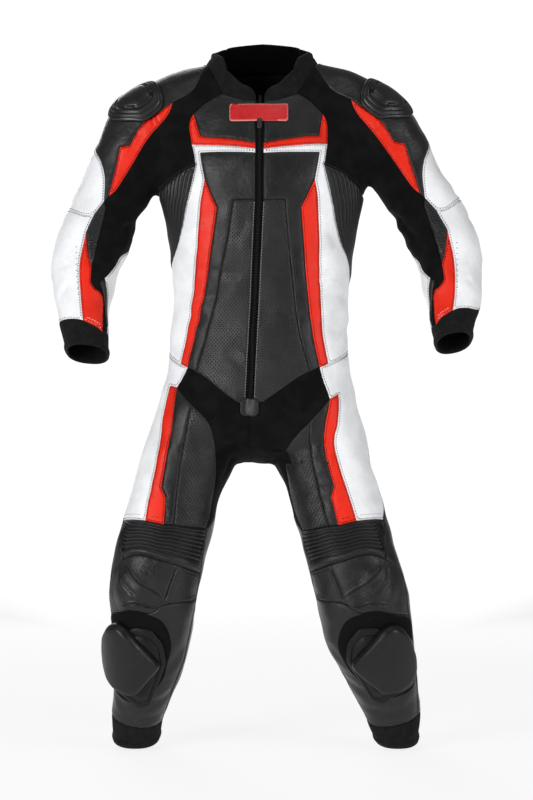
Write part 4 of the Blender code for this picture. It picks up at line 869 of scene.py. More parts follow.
def draw_seams():
    """The points of each seam by name and side, `FINEST` steps to each coarse one."""
    place = place_all()
    at = {(name, side): place[form, where, side]
          for form, points in POINTS.items() for name, where in points.items() for side in "rl"}
    lines = {}
    for form, seams in SEAMS.items():
        for name, (start, end, between) in seams.items():
            for side in "rl":
                knots = [at[start, side]] + [place[form, w, side] for w in between] + [at[end, side]]
                lines[name, side] = through(knots, COARSE)
    lines = settle(lines, 6)
    return settle({key: smooth_line(line, FINEST) for key, line in lines.items()}, 1)


SEAM_POINTS = draw_seams()


def loop_of(names, side):
    """A closed line of seam points. A leading - reverses a seam, and a last _r or _l fixes its side."""
    line = []
    for name in names.split():
        own = name[-1] if name[-2:] in ("_r", "_l") else side
        plain = name.lstrip("-").removesuffix("_r").removesuffix("_l")
        part = SEAM_POINTS[plain, own]
        line.append(part[::-1][:-1] if name[0] == "-" else part[:-1])
    return np.vstack(line)


# ---------------------------------------------------------------- sewn pieces
# Each piece by the form that it lies on, its material, and its seams in turn
PAIRED = {
    "chest": ("torso", "leather_black",
              "neck_front raglan_high red_inside red_above -edge_yoke"),
    "yoke_red": ("torso", "leather_red",
                 "raglan_red -red_below -edge_red -red_above -red_inside"),
    "front_white": ("torso", "leather_white",
                    "red_below raglan_band raglan_low rib_front side_rear -hip_front -stripe_outer"
                    " -upper_side -band_below -edge_white"),
    "front_upper": ("torso", "leather_black",
                    "band_below upper_side stripe_bend stripe_inner -vee_corner -panel_curve"
                    " -panel_high -edge_upper"),
    "front_lower": ("torso", "leather_black", "panel_high panel_curve vee -edge_lower"),
    "stripe_red": ("torso", "leather_red", "stripe_outer -stripe_foot -stripe_inner -stripe_bend"),
    "side_rib": ("torso", "leather_black", "rib_top rib_top_aft -rib_rear -rib_front"),
    "shoulder": ("sleeve", "leather_black",
                 "shoulder_front flash_top flash_ledge flash_out shoulder_foot -white_front white_rear"
                 " elbow_rear -shoulder_rear raglan_back -neck_shoulder"),
    "flash_red": ("sleeve", "leather_red", "flash_top flash_ledge flash_out -flash_low"),
    "sleeve_stretch": ("sleeve", "stretch_black",
                       "neck_stretch shoulder_front flash_low shoulder_foot rib_in fore_inner cuff_front"
                       " -gusset_low -gusset_high -shoulder_rear -rib_top_aft -rib_top -raglan_low"
                       " -raglan_band -raglan_red -raglan_high"),
    "white_upper": ("sleeve", "leather_white", "white_front rib_high elbow_seam -white_rear"),
    "white_fore": ("sleeve", "leather_white",
                   "-elbow_seam rib_mid fore_outer -cuff_rear -gusset_low -gusset_high -elbow_rear"),
    "elbow_rib": ("sleeve", "leather_black", "rib_in -rib_low -rib_mid -rib_high"),
    "fore_red": ("sleeve", "leather_red", "fore_outer fore_foot -fore_inner -rib_low"),
    "cuff": ("sleeve", "knit_black", "fore_foot cuff_front cuff_rear"),
    "leg_stretch": ("leg", "stretch_black",
                    "-zip_end -vee vee_corner notch panel_hip panel_inner -stretch_back"
                    " -crotch_under -crotch_front"),
    "thigh_white": ("leg", "leather_white",
                    "-hip_front -stripe_foot notch notch_foot thigh_white -knee_a -white_back"),
    "thigh_red": ("leg", "leather_red",
                  "notch_foot thigh_white knee_b -thigh_foot -thigh_bend -thigh_red"),
    "thigh_side": ("leg", "leather_black",
                   "thigh_red thigh_bend thigh_foot knee_c -thigh_seam -panel_hip"),
    "thigh_front": ("leg", "leather_black", "thigh_seam knee_d -panel_inner"),
    "leg_back": ("leg", "leather_black",
                 "white_back rib_outer cap_outer shin_outer -hem_rear -shin_inner -cap_inner"
                 " -rib_inner -stretch_back crotch_rear -hip_rear"),
    "knee_rib": ("leg", "leather_black",
                 "knee_a knee_b knee_c knee_d rib_inner -rib_lower -rib_outer"),
    "knee_panel": ("leg", "leather_black", "cap_inner -cap_lower -cap_outer rib_lower"),
    "shin": ("leg", "leather_black", "shin_inner -hem_front -shin_outer cap_lower"),
    "ankle_cuff": ("leg", "knit_black", "hem_rear hem_front"),
}


SINGLE = {
    "back": ("torso", "leather_black",
             "-hip_rear_r -side_rear_r rib_rear_r raglan_back_r neck_rear_r"
             " -neck_rear_l -raglan_back_l -rib_rear_l side_rear_l hip_rear_l"),
}
EDGE_OF_ZIP = ("edge_yoke_r edge_red_r edge_white_r edge_upper_r edge_lower_r zip_end_r"
               " -zip_end_l -edge_lower_l -edge_upper_l -edge_white_l -edge_red_l -edge_yoke_l")


# ---------------------------------------------------------------- creases
# Each crease from one place to another, how far it bows to the side, half width and depth.
# A negative depth is a ridge. "both" has it on each side, "r" or "l" on one.
CREASES = (
    # form, side and kind of place, then for each crease its two ends, bow, width and depth
    # chest and waist, seen from the front
    ("torso", "r", "seen", (
        (-108, -330, -30, -338, 6, 7, 1.5), (-112, -372, -52, -362, -5, 8, 1.8),
        (-132, -404, -88, -424, 5, 9, 2.6), (-150, -352, -112, -362, -4, 8, 2.2),
        (-128, -268, -110, -300, 4, 8, 1.8), (-64, -468, -22, -506, 5, 8, 1.6))),
    ("torso", "l", "seen", (
        (128, -330, 84, -344, 5, 8, 2.0), (152, -386, 100, -372, -6, 9, 2.8),
        (150, -420, 116, -432, 4, 8, 2.4), (88, -404, 30, -398, 6, 7, 1.4),
        (112, -256, 134, -292, 4, 8, 1.6), (24, -470, 74, -490, -5, 8, 1.6),
        (20, -262, 44, -300, 5, 8, 1.0))),
    ("torso", "r", "seen", (
        (-22, -232, -46, -282, 5, 8, 1.0),)),
    # back of the torso
    ("torso", "both", "round", (
        (150, -300, 175, -318, 6, 10, 2.4), (128, -345, 168, -362, -6, 11, 3.0),
        (120, -392, 160, -404, 7, 11, 2.6), (152, -190, 146, -120, 6, 10, 1.8),
        (132, -430, 172, -446, 5, 10, 2.0), (108, -410, 86, -432, 5, 9, 2.4))),
    # armpits and inner arms
    ("sleeve", "r", "seen", (
        (-146, -96, -176, -150, 8, 9, 3.2), (-166, -92, -200, -164, 8, 8, 2.4),
        (-132, -124, -160, -170, 5, 9, 2.6), (-212, -196, -250, -190, 5, 8, 2.4),
        (-206, -226, -262, -216, 6, 9, 3.0), (-216, -262, -268, -256, -5, 9, 3.2),
        (-228, -300, -276, -288, 6, 8, 2.4))),
    ("sleeve", "l", "seen", (
        (150, -100, 184, -156, -8, 9, 3.0), (172, -90, 208, -160, -8, 8, 2.4),
        (136, -120, 164, -168, -5, 9, 2.6), (222, -200, 264, -196, 5, 8, 2.6),
        (232, -240, 288, -236, -6, 9, 3.2), (250, -276, 304, -262, 6, 8, 2.6),
        (264, -312, 316, -300, -5, 8, 2.2))),
    # red flashes, pulled across in two places
    ("sleeve", "r", "seen", (
        (-193, -57, -181, -82, 2, 2.6, 2.6), (-186, -54, -173, -78, 2, 2.6, 2.4),
        (-222, -96, -200, -92, 2, 3.5, 1.2), (-228, -120, -206, -112, -2, 3.5, 1.2))),
    ("sleeve", "l", "seen", (
        (214, -66, 200, -92, -2, 4, 1.4),)),
    # elbows and forearms
    ("sleeve", "both", "round", (
        (60, 8.4, 128, 8.0, 6, 8, 2.6), (66, 9.2, 140, 9.4, -6, 9, 2.8),
        (72, 7.6, 120, 7.2, 5, 9, 2.2), (150, 9.0, -140, 9.6, 6, 9, 2.6),
        (-120, 8.2, -60, 8.6, 6, 10, 3.6), (-110, 9.2, -52, 9.4, -5, 9, 3.0),
        (150, 7.2, -150, 7.6, 5, 10, 2.6), (58, 11.2, 110, 11.9, 5, 8, 1.6),
        (120, 10.6, 170, 11.2, -5, 9, 2.0), (24, 11.5, 52, 11.0, 3, 6, 1.2),
        (20, 12.2, 50, 12.6, -3, 6, 1.2))),
    # shoulders, front and back
    ("sleeve", "both", "round", (
        (30, 2.2, 52, 3.0, 5, 9, 1.4), (128, 3.4, 150, 4.8, 6, 10, 2.2),
        (96, 5.4, 140, 5.8, 5, 10, 2.0))),
    # crotch and inner thighs
    ("leg", "r", "seen", (
        (-20, -574, -66, -604, 5, 8, 2.6), (-22, -604, -72, -652, 6, 9, 3.2),
        (-62, -560, -102, -572, 4, 8, 2.0), (-34, -640, -66, -690, 5, 8, 2.6))),
    ("leg", "l", "seen", (
        (8, -590, 60, -606, 5, 8, 2.6), (6, -620, 58, -672, -5, 9, 3.2),
        (40, -556, 92, -566, 4, 8, 2.0), (24, -650, 50, -704, 5, 8, 2.6))),
    # thighs, front
    ("leg", "r", "seen", (
        (-122, -600, -90, -640, 5, 9, 1.8), (-140, -660, -98, -690, 5, 10, 1.8),
        (-138, -722, -96, -732, -4, 9, 1.8))),
    ("leg", "l", "seen", (
        (112, -606, 78, -640, -5, 9, 1.8), (128, -676, 86, -690, 5, 10, 1.8),
        (128, -728, 84, -738, -4, 9, 1.8))),
    ("leg", "r", "seen", (
        (-196, -590, -176, -640, 5, 9, 2.0), (-214, -690, -186, -716, 4, 9, 2.0))),
    ("leg", "l", "seen", (
        (182, -600, 164, -640, 5, 9, 2.0), (206, -700, 176, -722, 4, 9, 2.2))),
    # seat and back of the legs
    ("leg", "both", "round", (
        (150, 3.0, -165, 3.8, 7, 11, 3.0), (158, 4.4, -150, 4.9, -7, 11, 2.6),
        (112, 2.8, 138, 3.8, 6, 10, 2.4), (130, 8.2, -150, 8.5, 6, 10, 4.0),
        (120, 8.9, -140, 9.1, -5, 10, 4.4), (136, 9.7, -158, 9.5, 6, 10, 3.4),
        (110, 7.6, 165, 7.7, -5, 10, 2.8), (150, 11.2, -160, 11.7, 5, 10, 2.2),
        (140, 12.6, -170, 12.9, -4, 9, 1.8), (-96, 8.4, -126, 8.9, 4, 9, 3.0),
        (-88, 9.4, -122, 9.6, -4, 9, 2.6))),
    # shins
    ("leg", "both", "round", (
        (-52, 10.8, -24, 11.6, 4, 8, 1.6), (-60, 12.2, -14, 12.6, 4, 8, 1.8),
        (66, 12.4, 20, 12.9, -4, 8, 1.8), (-50, 13.2, 30, 13.4, 4, 7, 1.6))),
)
# Soft waves all over: direction across them, wavelength and height
WAVES = (
    # x, y, z, wavelength, height
    (0.3, 0.5, 1.0, 74, 0.55),
    (1.0, 0.2, 0.5, 57, 0.42),
    (-0.7, 0.9, 0.6, 91, 0.60),
    (0.9, -0.4, -0.8, 43, 0.26),
    (0.1, 1.0, -0.5, 66, 0.38),
    (-0.5, -0.2, 1.0, 37, 0.20),
)


def crease_lines():
    """Each crease as points on the skin, with its width and depth."""
    found = []
    every = ((*group, row) for *group, rows in CREASES for row in rows)
    for form, side, kind, (*places_of, bow, width, depth) in every:
        for own in ("rl" if side == "both" else side):
            ends = []
            for first, second in (places_of[:2], places_of[2:]):
                if kind == "seen":
                    ends.append(seen(first, second)[0])
                    continue
                ring = ring_at(second) if form == "torso" else second
                ends.append(cast(tube_of(form, own), facing(form, own) * first, ring)[0])
            middle = on_skin(np.mean(ends, 0)[None], 3)
            aside = np.cross(outward(middle), unit(ends[1] - ends[0]))
            middle = on_skin(middle + aside * bow, 3)[0]
            line = on_skin(through([ends[0], middle, ends[1]], CREASE_STEP), 2)
            found.append((line, width, depth))
    return found


def along_line(p, line):
    """Distance of points from a line, and the share of its length where they are nearest."""
    best = np.full(len(p), 1e9)
    share = np.zeros(len(p))
    for k, (a, b) in enumerate(zip(line[:-1], line[1:])):
        t, gap = from_step(p, a, b)
        closer = gap < best
        best = np.where(closer, gap, best)
        share = np.where(closer, (k + t) / (len(line) - 1), share)
    return best, share


def trough(gap, width, lip):
    """A trough's depth from 0 to 1 by the distance from its line, with raised lips beside it."""
    high, place, wide = lip
    return bell(gap, 0, width) - high * bell(gap, place * width, wide * width)


def cloth_relief(p):
    """How far the cloth stands off the smooth skin, from its waves and creases."""
    total = np.zeros(len(p))
    for x, y, z, length, height in WAVES:
        total += height * np.sin(p @ unit(np.array((x, y, z))) * (2 * math.pi / length) + length)
    for x0, y0, z0, x1, y1, z1, width, depth in FOLDS:
        gap, _ = along_line(p, np.array(((x0, y0, z0), (x1, y1, z1)), float))
        total -= depth * bell(gap, 0, width)
    for line, width, depth in CREASE_LINES:
        reach = 3.2 * width
        near = np.all((p > line.min(0) - reach) & (p < line.max(0) + reach), axis=1)
        if not near.any():
            continue
        gap, share = along_line(p[near], line)
        fade = np.sin(np.pi * np.clip(share, 0, 1)) ** 0.6
        fade[np.minimum(share, 1 - share) <= 0] = 0
        total[near] -= depth * fade * trough(gap, width, CREASE_LIP)
    return total


CREASE_LINES = crease_lines()


def flatten(tube, p):
    """Cut angle in radians along a line of points, without jumps, and length along the form."""
    angle, ring = tube.locate(p)
    _, past = tube.station(p)
    along = tube.length_at(ring)
    run = np.where(ring > 0.01, along + past, along - past)
    return np.unwrap(np.radians(angle)), run


def edge_distance(p, loop):
    """Distance of 2D points from a closed line, and whether they lie inside it."""
    nearest = np.full(len(p), 1e9)
    inside = np.zeros(len(p), bool)
    for a, b in zip(loop, np.roll(loop, -1, axis=0)):
        nearest = np.minimum(nearest, from_step(p, a, b)[1])
        crosses = (a[1] > p[:, 1]) != (b[1] > p[:, 1])
        rise = (b[0] - a[0]) * (p[:, 1] - a[1]) / (b[1] - a[1] if b[1] != a[1] else 1e-9) + a[0]
        inside ^= crosses & (p[:, 0] < rise)
    return nearest, inside


def grid_inside(loop, spacing, margin):
    """Staggered points inside a closed 2D line."""
    low, high = loop.min(0), loop.max(0)
    found = [np.zeros((0, 2))]
    for k, v in enumerate(np.arange(low[1] + spacing / 2, high[1], spacing * 0.87)):
        u = np.arange(low[0] + spacing * 0.5 * (k % 2), high[0], spacing)
        found.append(np.stack([u, np.full_like(u, v)], 1))
    points = np.vstack(found)
    nearest, inside = edge_distance(points, loop)
    return points[inside & (nearest > margin)]


def triangles_in(loop, inner, lines):
    """Triangles over the inside of a closed 2D line, its points first, along the given lines."""
    points = [Vector(p) for p in np.vstack([loop, inner])]
    ring = list(range(len(loop)))
    borders = list(zip(ring, ring[1:] + ring[:1]))
    _, _, faces, origin, _, _ = delaunay_2d_cdt(points, borders + lines, [], 0, 1e-6, True)
    middles = np.array([sum((points[origin[k][0]] for k in face), Vector((0, 0))) / 3
                        for face in faces])
    inside = edge_distance(middles, loop)[1]
    return [tuple(origin[k][0] for k in face) for face, kept in zip(faces, inside) if kept]


def rim_shift(p, normal, gap):
    """How far each point of a closed line moves into its piece to leave half the seam's gap."""
    before = unit(np.cross(normal, p - np.roll(p, 1, axis=0)))
    after = unit(np.cross(normal, np.roll(p, -1, axis=0) - p))
    middle = unit(before + after)
    share = np.maximum((middle * after).sum(1), 0.12)
    return middle * (gap / 2 / share)[:, None]


def crossings(loop, axis, value):
    """Where a closed 2D line crosses one value of a coordinate: least and greatest of the other."""
    found = []
    for a, b in zip(loop, np.roll(loop, -1, axis=0)):
        if (a[axis] > value) != (b[axis] > value):
            t = (value - a[axis]) / (b[axis] - a[axis])
            found.append(a[1 - axis] + t * (b[1 - axis] - a[1 - axis]))
    return (min(found), max(found)) if found else (0.0, 0.0)


# ---------------------------------------------------------------- patches of skin
def split(uv, at, faces, rim, line_uv, line_at):
    """Each triangle cut in four. The rim's new points take the finer line's places."""
    count = len(uv)
    pairs = np.sort(np.vstack([faces[:, [0, 1]], faces[:, [1, 2]], faces[:, [2, 0]]]), axis=1)
    keys, which = np.unique(pairs[:, 0] * count + pairs[:, 1], return_inverse=True)
    first, second = keys // count, keys % count
    a, b, c = faces.T
    ab, bc, ca = count + which.reshape(3, -1)
    faces = np.vstack([np.stack(corners, 1)
                       for corners in ((a, ab, ca), (ab, b, bc), (ca, bc, c), (ab, bc, ca))])
    uv = np.vstack([uv, (uv[first] + uv[second]) / 2])
    at = np.vstack([at, (at[first] + at[second]) / 2])
    after = np.roll(rim, -1)
    sides = np.minimum(rim, after) * count + np.maximum(rim, after)
    rim = np.stack([rim, count + np.searchsorted(keys, sides)], 1).ravel()
    uv[rim], at[rim] = line_uv, line_at
    return uv, at, faces, rim


def nearest_on(p, line):
    """Distance of points from a closed line, and how far along it the nearest place is."""
    tree = KDTree(len(line))
    for k, q in enumerate(line):
        tree.insert(q, k)
    tree.balance()
    nearest = np.array([tree.find(q)[1] for q in p])
    step = steps_of(line, closed=True)
    run = np.concatenate([[0], np.cumsum(step)])[:-1]
    best, place = np.full(len(p), 1e9), np.zeros(len(p))
    for start in (nearest, (nearest - 1) % len(line)):
        a, b = line[start], line[(start + 1) % len(line)]
        way = b - a
        t = np.clip(((p - a) * way).sum(1) / np.maximum((way**2).sum(1), 1e-9), 0, 1)
        gap = np.linalg.norm(p - a - t[:, None] * way, axis=1)
        closer = gap < best
        best = np.where(closer, gap, best)
        place = np.where(closer, run[start] + t * step[start], place)
    return best, place


def edges_at(flat, axis, at, count=160, ends=0.0):
    """Least and greatest of the other flat coordinate of a closed line, at values of one."""
    values = np.linspace(flat[:, axis].min() + ends, flat[:, axis].max() - ends, count + 2)[1:-1]
    ends = np.array([crossings(flat, axis, value) for value in values])
    return np.interp(at, values, ends[:, 0]), np.interp(at, values, ends[:, 1])


def nearer(low, high):
    """Whichever edge lies nearer the middle of the front."""
    return low if np.abs(low).mean() < np.abs(high).mean() else high


def rib_rows(flat, axis, beside, fine, wide):
    """Ways to and from a plane where ribs run level: beside one edge of a patch, or between two."""
    every = edges_at(flat, axis, flat[:, axis], 40, ROW_ENDS)
    first = nearer(*every) is every[0]
    span = float((every[1] - every[0]).mean())

    def base_and_reach(at):
        low, high = edges_at(flat, axis, at, 40, ROW_ENDS)
        if beside:
            return (low if first else high), 1.0
        return low, np.maximum(high - low, span / 2) / span

    def there(uv):
        base, reach = base_and_reach(uv[:, axis])
        return np.stack([uv[:, axis] / wide, (uv[:, 1 - axis] - base) / reach / fine], 1)

    def back(rows):
        at = rows[:, 0] * wide
        base, reach = base_and_reach(at)
        both = (at, base + rows[:, 1] * fine * reach)
        return np.stack(both if axis == 0 else both[::-1], 1)

    return there, back


class Patch:
    """The fine triangles of skin inside a closed line of points."""

    def __init__(self, tube, line, levels=LEVELS, spacing=COARSE, rows=None):
        step = 2**levels
        self.tube, self.radius = tube, tube.radius(tube.station(line[::step])[0])
        angle, run = flatten(tube, line)
        flat = np.stack([angle * self.radius, run], 1)
        after = np.roll(flat, -1, axis=0)
        if np.sum(flat[:, 0] * after[:, 1] - after[:, 0] * flat[:, 1]) < 0:
            flat, line = (np.roll(x[::-1], 1, axis=0) for x in (flat, line))
        if rows:
            there, back = rib_rows(flat, *rows)
            inner = grid_inside(there(flat), 1.0, 0.6)
            faces = np.array(triangles_in(there(flat), inner, []))
            inner = back(inner)
        else:
            inner = grid_inside(flat[::step], spacing, spacing * 0.55)
            faces = np.array(triangles_in(flat[::step], inner, []))
        uv, at = flat[::step], line[::step]
        if len(inner):
            uv, at = np.vstack([uv, inner]), np.vstack([at, self.place(inner)])
        rim = np.arange(len(flat[::step]))
        for level in range(levels):
            finer = 2 ** (levels - 1 - level)
            uv, at, faces, rim = split(uv, at, faces, rim, flat[::finer], line[::finer])
        free = np.ones(len(at), bool)
        free[rim] = False
        at[free] = in_chunks(lambda p: on_skin(p, 1), at[free])
        normal = in_chunks(outward, at)
        a, b, c = (at[faces[:, k]] for k in range(3))
        turned = (np.cross(b - a, c - a) * normal[faces[:, 0]]).sum() < 0
        self.faces = faces[:, ::-1] if turned else faces
        self.rim = rim[::-1] if turned else rim
        self.uv, self.at, self.normal, self.flat = uv, at, normal, flat
        self.away, self.run = nearest_on(at, at[self.rim])
        self.relief = in_chunks(cloth_relief, at)

    def place(self, uv):
        """Skin points at flat places."""
        return cast_many(self.tube, np.degrees(uv[:, 0] / self.radius), self.tube.ring_of(uv[:, 1]))

    def cut(self):
        """Width, length and area of the flat cut, in metres. A bent strip is measured along itself."""
        a, b, c = (self.at[self.faces[:, k]] for k in range(3))
        area = np.linalg.norm(np.cross(b - a, c - a), axis=1).sum() / 2 * MM**2
        best = None
        for turn in np.radians(np.arange(0, 90, 5)):
            ways = np.array(((math.cos(turn), math.sin(turn)), (-math.sin(turn), math.cos(turn))))
            size = np.ptp(self.flat @ ways.T, axis=0) * MM
            if best is None or size.prod() < best.prod():
                best = size
        if area < STRIP_SHARE * best.prod():
            half = steps_of(self.at[self.rim], closed=True).sum() / 2 * MM
            length = (half + math.sqrt(max(0.0, half**2 - 4 * area))) / 2
            best = np.array([area / length, length])
        best = np.ceil(best * max(1.0, math.sqrt(area / best.prod())) * 1000 + 0.5) / 1000
        return best, area

    def levels_of(self, axis):
        return edges_at(self.flat, axis, self.uv[:, axis])


# ---------------------------------------------------------------- ribs and rolled edges
def rolled(patch):
    """The edge of leather folded under at its seams, with the pull of its stitches."""
    drop = -ROLL_DROP * np.clip(1 - patch.away / ROLL_WIDTH, 0, 1) ** 2
    pull = PUCKER * np.sin(patch.run * (2 * math.pi / PUCKER_STEP) + 2 * np.sin(patch.run / 31))
    return drop + pull * np.exp(-patch.away / PUCKER_FADE)


def ridge(turns, sharp):
    """A row of round rolls with tight valleys, from 0 to 1, once for each turn."""
    return (np.sin(np.pi * turns) ** 2 + 0.004) ** (sharp / 2)


def knee_ribs(patch):
    """Round rolls over the knee, with a plain padded band below them."""
    low, high = patch.levels_of(0)
    share = (patch.uv[:, 1] - low) / np.maximum(high - low, 1)
    sway = 0.10 * np.sin(patch.uv[:, 0] / 17) + 0.06 * np.sin(patch.uv[:, 0] / 7.3 + 1)
    taper = np.clip(patch.away / 5, 0, 1)
    rolls = KNEE_RIB_RISE * ridge((1 - share / KNEE_RIB_SHARE) * KNEE_RIBS + sway * taper, 0.9)
    past = np.clip((share - KNEE_RIB_SHARE) / (1 - KNEE_RIB_SHARE), 0, 1)
    padded = KNEE_BAND_RISE * np.sin(np.pi * past) ** 0.75
    return np.where(share < KNEE_RIB_SHARE, rolls, padded) * taper - 0.6


def side_ribs(patch):
    low, high = patch.levels_of(1)
    turns = np.abs(patch.uv[:, 0] - nearer(low, high)) / SIDE_RIB_PITCH
    sway = 0.10 * np.sin(patch.uv[:, 1] / 21) + 0.05 * np.sin(patch.uv[:, 1] / 8 + 2)
    taper = np.clip(patch.away / 7, 0, 1)
    return SIDE_RIB_RISE * ridge(turns + sway * taper, 0.9) * taper - 0.5


def elbow_ribs(patch):
    low = patch.flat[:, 1].min()
    down = patch.uv[:, 1] - low
    taper = np.clip(patch.away / 3, 0, 1) * np.clip((ELBOW_RIB_LENGTH - down) / 8, 0, 1)
    across = ridge(patch.uv[:, 0] / ELBOW_RIB_PITCH + 0.5, 0.7)
    return ELBOW_RIB_RISE * ridge(down / ELBOW_RIB_PITCH, 0.7) * (0.55 + 0.45 * across) * taper


def drawn(form, side, knots, spacing=3.0, closed=False):
    """A smooth line of skin points through table places, the same on both sides."""
    knots = list(knots) + list(knots[:1] if closed else ())
    angle, ring = cuts(form, [spot(knot) for knot in knots])
    line = cast(tube_of(form, side), facing(form, side) * angle, ring)
    return on_skin(through(line, spacing), 2)


def knee_relief(patch):
    """The moulded knee: pressed lines round a raised outer cap."""
    side = patch.tube.name[-1]
    total = np.zeros(len(patch.at))
    x, z, wide, high, rise = KNEE_CAP
    middle = drawn("leg", side, ((x, z), (x + 1, z)))[0]
    total += rise * np.exp(-((np.linalg.norm((patch.at - middle) / (wide, wide, high), axis=1)) ** 4))
    for knots, width, depth in KNEE_LINES:
        line = drawn("leg", side, knots)
        gap, share = along_line(patch.at, line)
        fade = np.clip(np.minimum(share, 1 - share) * 9, 0, 1)
        total -= depth * fade * trough(gap, width, KNEE_LIP)
    return total * np.clip(patch.away / 5, 0, 1)


RELIEF = {"knee_rib": knee_ribs, "side_rib": side_ribs, "elbow_rib": elbow_ribs,
          "knee_panel": knee_relief}


# ---------------------------------------------------------------- materials
class Look:
    """One node material: sockets are numbers, colours or other nodes' outputs."""

    def __init__(self, name, roughness, metallic=0.0, specular=0.5, sheen=0.0):
        self.material = bpy.data.materials.new(name)
        self.material.use_nodes = True
        tree = self.material.node_tree
        self.nodes, self.links = tree.nodes, tree.links
        self.shader = self.nodes["Principled BSDF"]
        for socket, value in (("Roughness", roughness), ("Metallic", metallic),
                              ("Specular IOR Level", specular), ("Sheen Weight", sheen),
                              ("Sheen Roughness", 0.5), ("Coat Weight", 0.0), ("Coat Roughness", 0.3)):
            self.put(socket, value)
        self.place = self.node("ShaderNodeTexCoord", out="Object")

    def put(self, socket, value, node=None):
        target = (node or self.shader).inputs[socket]
        if isinstance(value, bpy.types.NodeSocket):
            self.links.new(value, target)
        else:
            target.default_value = value

    def node(self, kind, out=0, sockets=(), **settings):
        made = self.nodes.new(kind)
        for key, value in settings.items():
            setattr(made, key, value)
        for socket, value in dict(sockets).items():
            self.put(socket, value, made)
        return made.outputs[out]

    def noise(self, size, detail=3.0, rough=0.55):
        """Soft noise with spots of about `size` millimetres, from 0 to 1."""
        return self.node("ShaderNodeTexNoise", "Fac", {
            "Vector": self.place, "Scale": 1 / (size * MM), "Detail": detail, "Roughness": rough})

    def cells(self, size, feature="DISTANCE_TO_EDGE"):
        """Distance in a pattern of cells of about `size` millimetres."""
        return self.node("ShaderNodeTexVoronoi", "Distance", {
            "Vector": self.place, "Scale": 1 / (size * MM)}, feature=feature)

    def span(self, value, low, high, to_low=0.0, to_high=1.0):
        return self.node("ShaderNodeMapRange", "Result", {
            "Value": value, "From Min": low, "From Max": high, "To Min": to_low, "To Max": to_high},
            interpolation_type="SMOOTHSTEP")

    def maths(self, operation, a, b=0.0):
        return self.node("ShaderNodeMath", "Value", {0: a, 1: b}, operation=operation)

    def mix(self, share, a, b):
        return self.node("ShaderNodeMix", 2, {"Factor": share, 6: a, 7: b}, data_type="RGBA")

    def wear(self):
        return self.node("ShaderNodeAttribute", "Fac", attribute_name="wear")

    def bump(self, height, strength, depth, below=None):
        """Bump of `depth` millimetres, over another bump."""
        sockets = {"Height": height, "Strength": strength, "Distance": depth * MM}
        if below is not None:
            sockets["Normal"] = below
        return self.node("ShaderNodeBump", "Normal", sockets)

    def stretched(self, across, along, turn=0.0):
        """The cloth's own flat coordinates, scaled apart, for weaves and lines."""
        flat = self.node("ShaderNodeUVMap", "UV", uv_map="cloth")
        return self.node("ShaderNodeMapping", "Vector", {
            "Vector": flat, "Rotation": (0, 0, math.radians(turn)), "Scale": (across, along, 1)})

    def wave(self, across, along, turn=0.0, scale=1.0, **sockets):
        """Soft bands over the cloth's own flat coordinates."""
        return self.node("ShaderNodeTexWave", "Fac", {
            "Vector": self.stretched(across, along, turn), "Scale": scale, **sockets})


def shade(colour, factor):
    return tuple(min(1.0, c * factor) for c in colour[:3]) + (1.0,)


def leather(name, colour, rub_dirt_shade_tone, rough, specular, grain=0.35, wrinkle=0.5):
    """Cowhide: fine pebbled grain, soft mottling, and edges rubbed at the seams. Near seams and in
    creases it turns to its second tone: wear on black and red, dirt and painted shade on white.
    """
    look = Look(name, rough, specular=specular)
    mottle = look.noise(46, 4)
    fine = look.noise(7, 3)
    tone = look.mix(look.span(mottle, 0.30, 0.70), shade(colour, 0.93), shade(colour, 1.06))
    tone = look.mix(look.maths("MULTIPLY", look.span(fine, 0.45, 0.75), 0.15), tone, rub_dirt_shade_tone)
    # seam and crease mask: wear on black and red leather, dirt and painted shade on white
    rub_shade_mask = look.maths("MULTIPLY", look.wear(), look.span(look.noise(11, 4), 0.40, 0.66))
    look.put("Base Color", look.mix(look.maths("MULTIPLY", rub_shade_mask, 0.45), tone, rub_dirt_shade_tone))
    spread = look.span(mottle, 0.35, 0.65, rough - 0.07, rough + 0.07)
    look.put("Roughness", look.maths("ADD", spread, look.maths("MULTIPLY", rub_shade_mask, 0.10)))
    pebble = look.span(look.cells(1.5), 0.0, 0.16)
    coarse = look.cells(4.2, "SMOOTH_F1")
    soft = look.bump(look.noise(17, 4), 0.7, 1.4)
    soft = look.bump(look.noise(6.5, 3), wrinkle, 0.7, soft)
    soft = look.bump(coarse, 0.35, 0.5, soft)
    look.put("Normal", look.bump(pebble, grain, 0.16, soft))
    return look


def perforated():
    """Black leather with rows of small punched holes, painted near black inside: the dark lining and
    painted shade in each hole.
    """
    look = leather("leather_perforated", PERFORATED, BLACK_WORN, 0.42, 0.34)
    holes = look.node("ShaderNodeTexVoronoi", "Distance", {
        "Vector": look.stretched(1000 / HOLE_PITCH, 1000 / HOLE_PITCH, 45), "Scale": 1.0,
        "Randomness": 0.0}, voronoi_dimensions="2D")
    edge = HOLE_RADIUS / HOLE_PITCH
    open_hole_shade_mask = look.span(holes, edge - 0.05, edge + 0.04)
    base = look.shader.inputs["Base Color"].links[0].from_socket
    rim = look.span(holes, edge + 0.02, edge + 0.14)
    pale = look.mix(rim, PERFORATED_RIM, base)
    # inside each hole, near black: the dark lining and painted shade
    look.put("Base Color", look.mix(open_hole_shade_mask, (0.001, 0.001, 0.001, 1), pale))
    rough = look.shader.inputs["Roughness"].links[0].from_socket
    look.put("Roughness", look.span(open_hole_shade_mask, 0.0, 1.0, 1.0, rough))
    under = look.shader.inputs["Normal"].links[0].from_socket
    look.put("Normal", look.bump(open_hole_shade_mask, 1.0, 1.2, under))
    return look


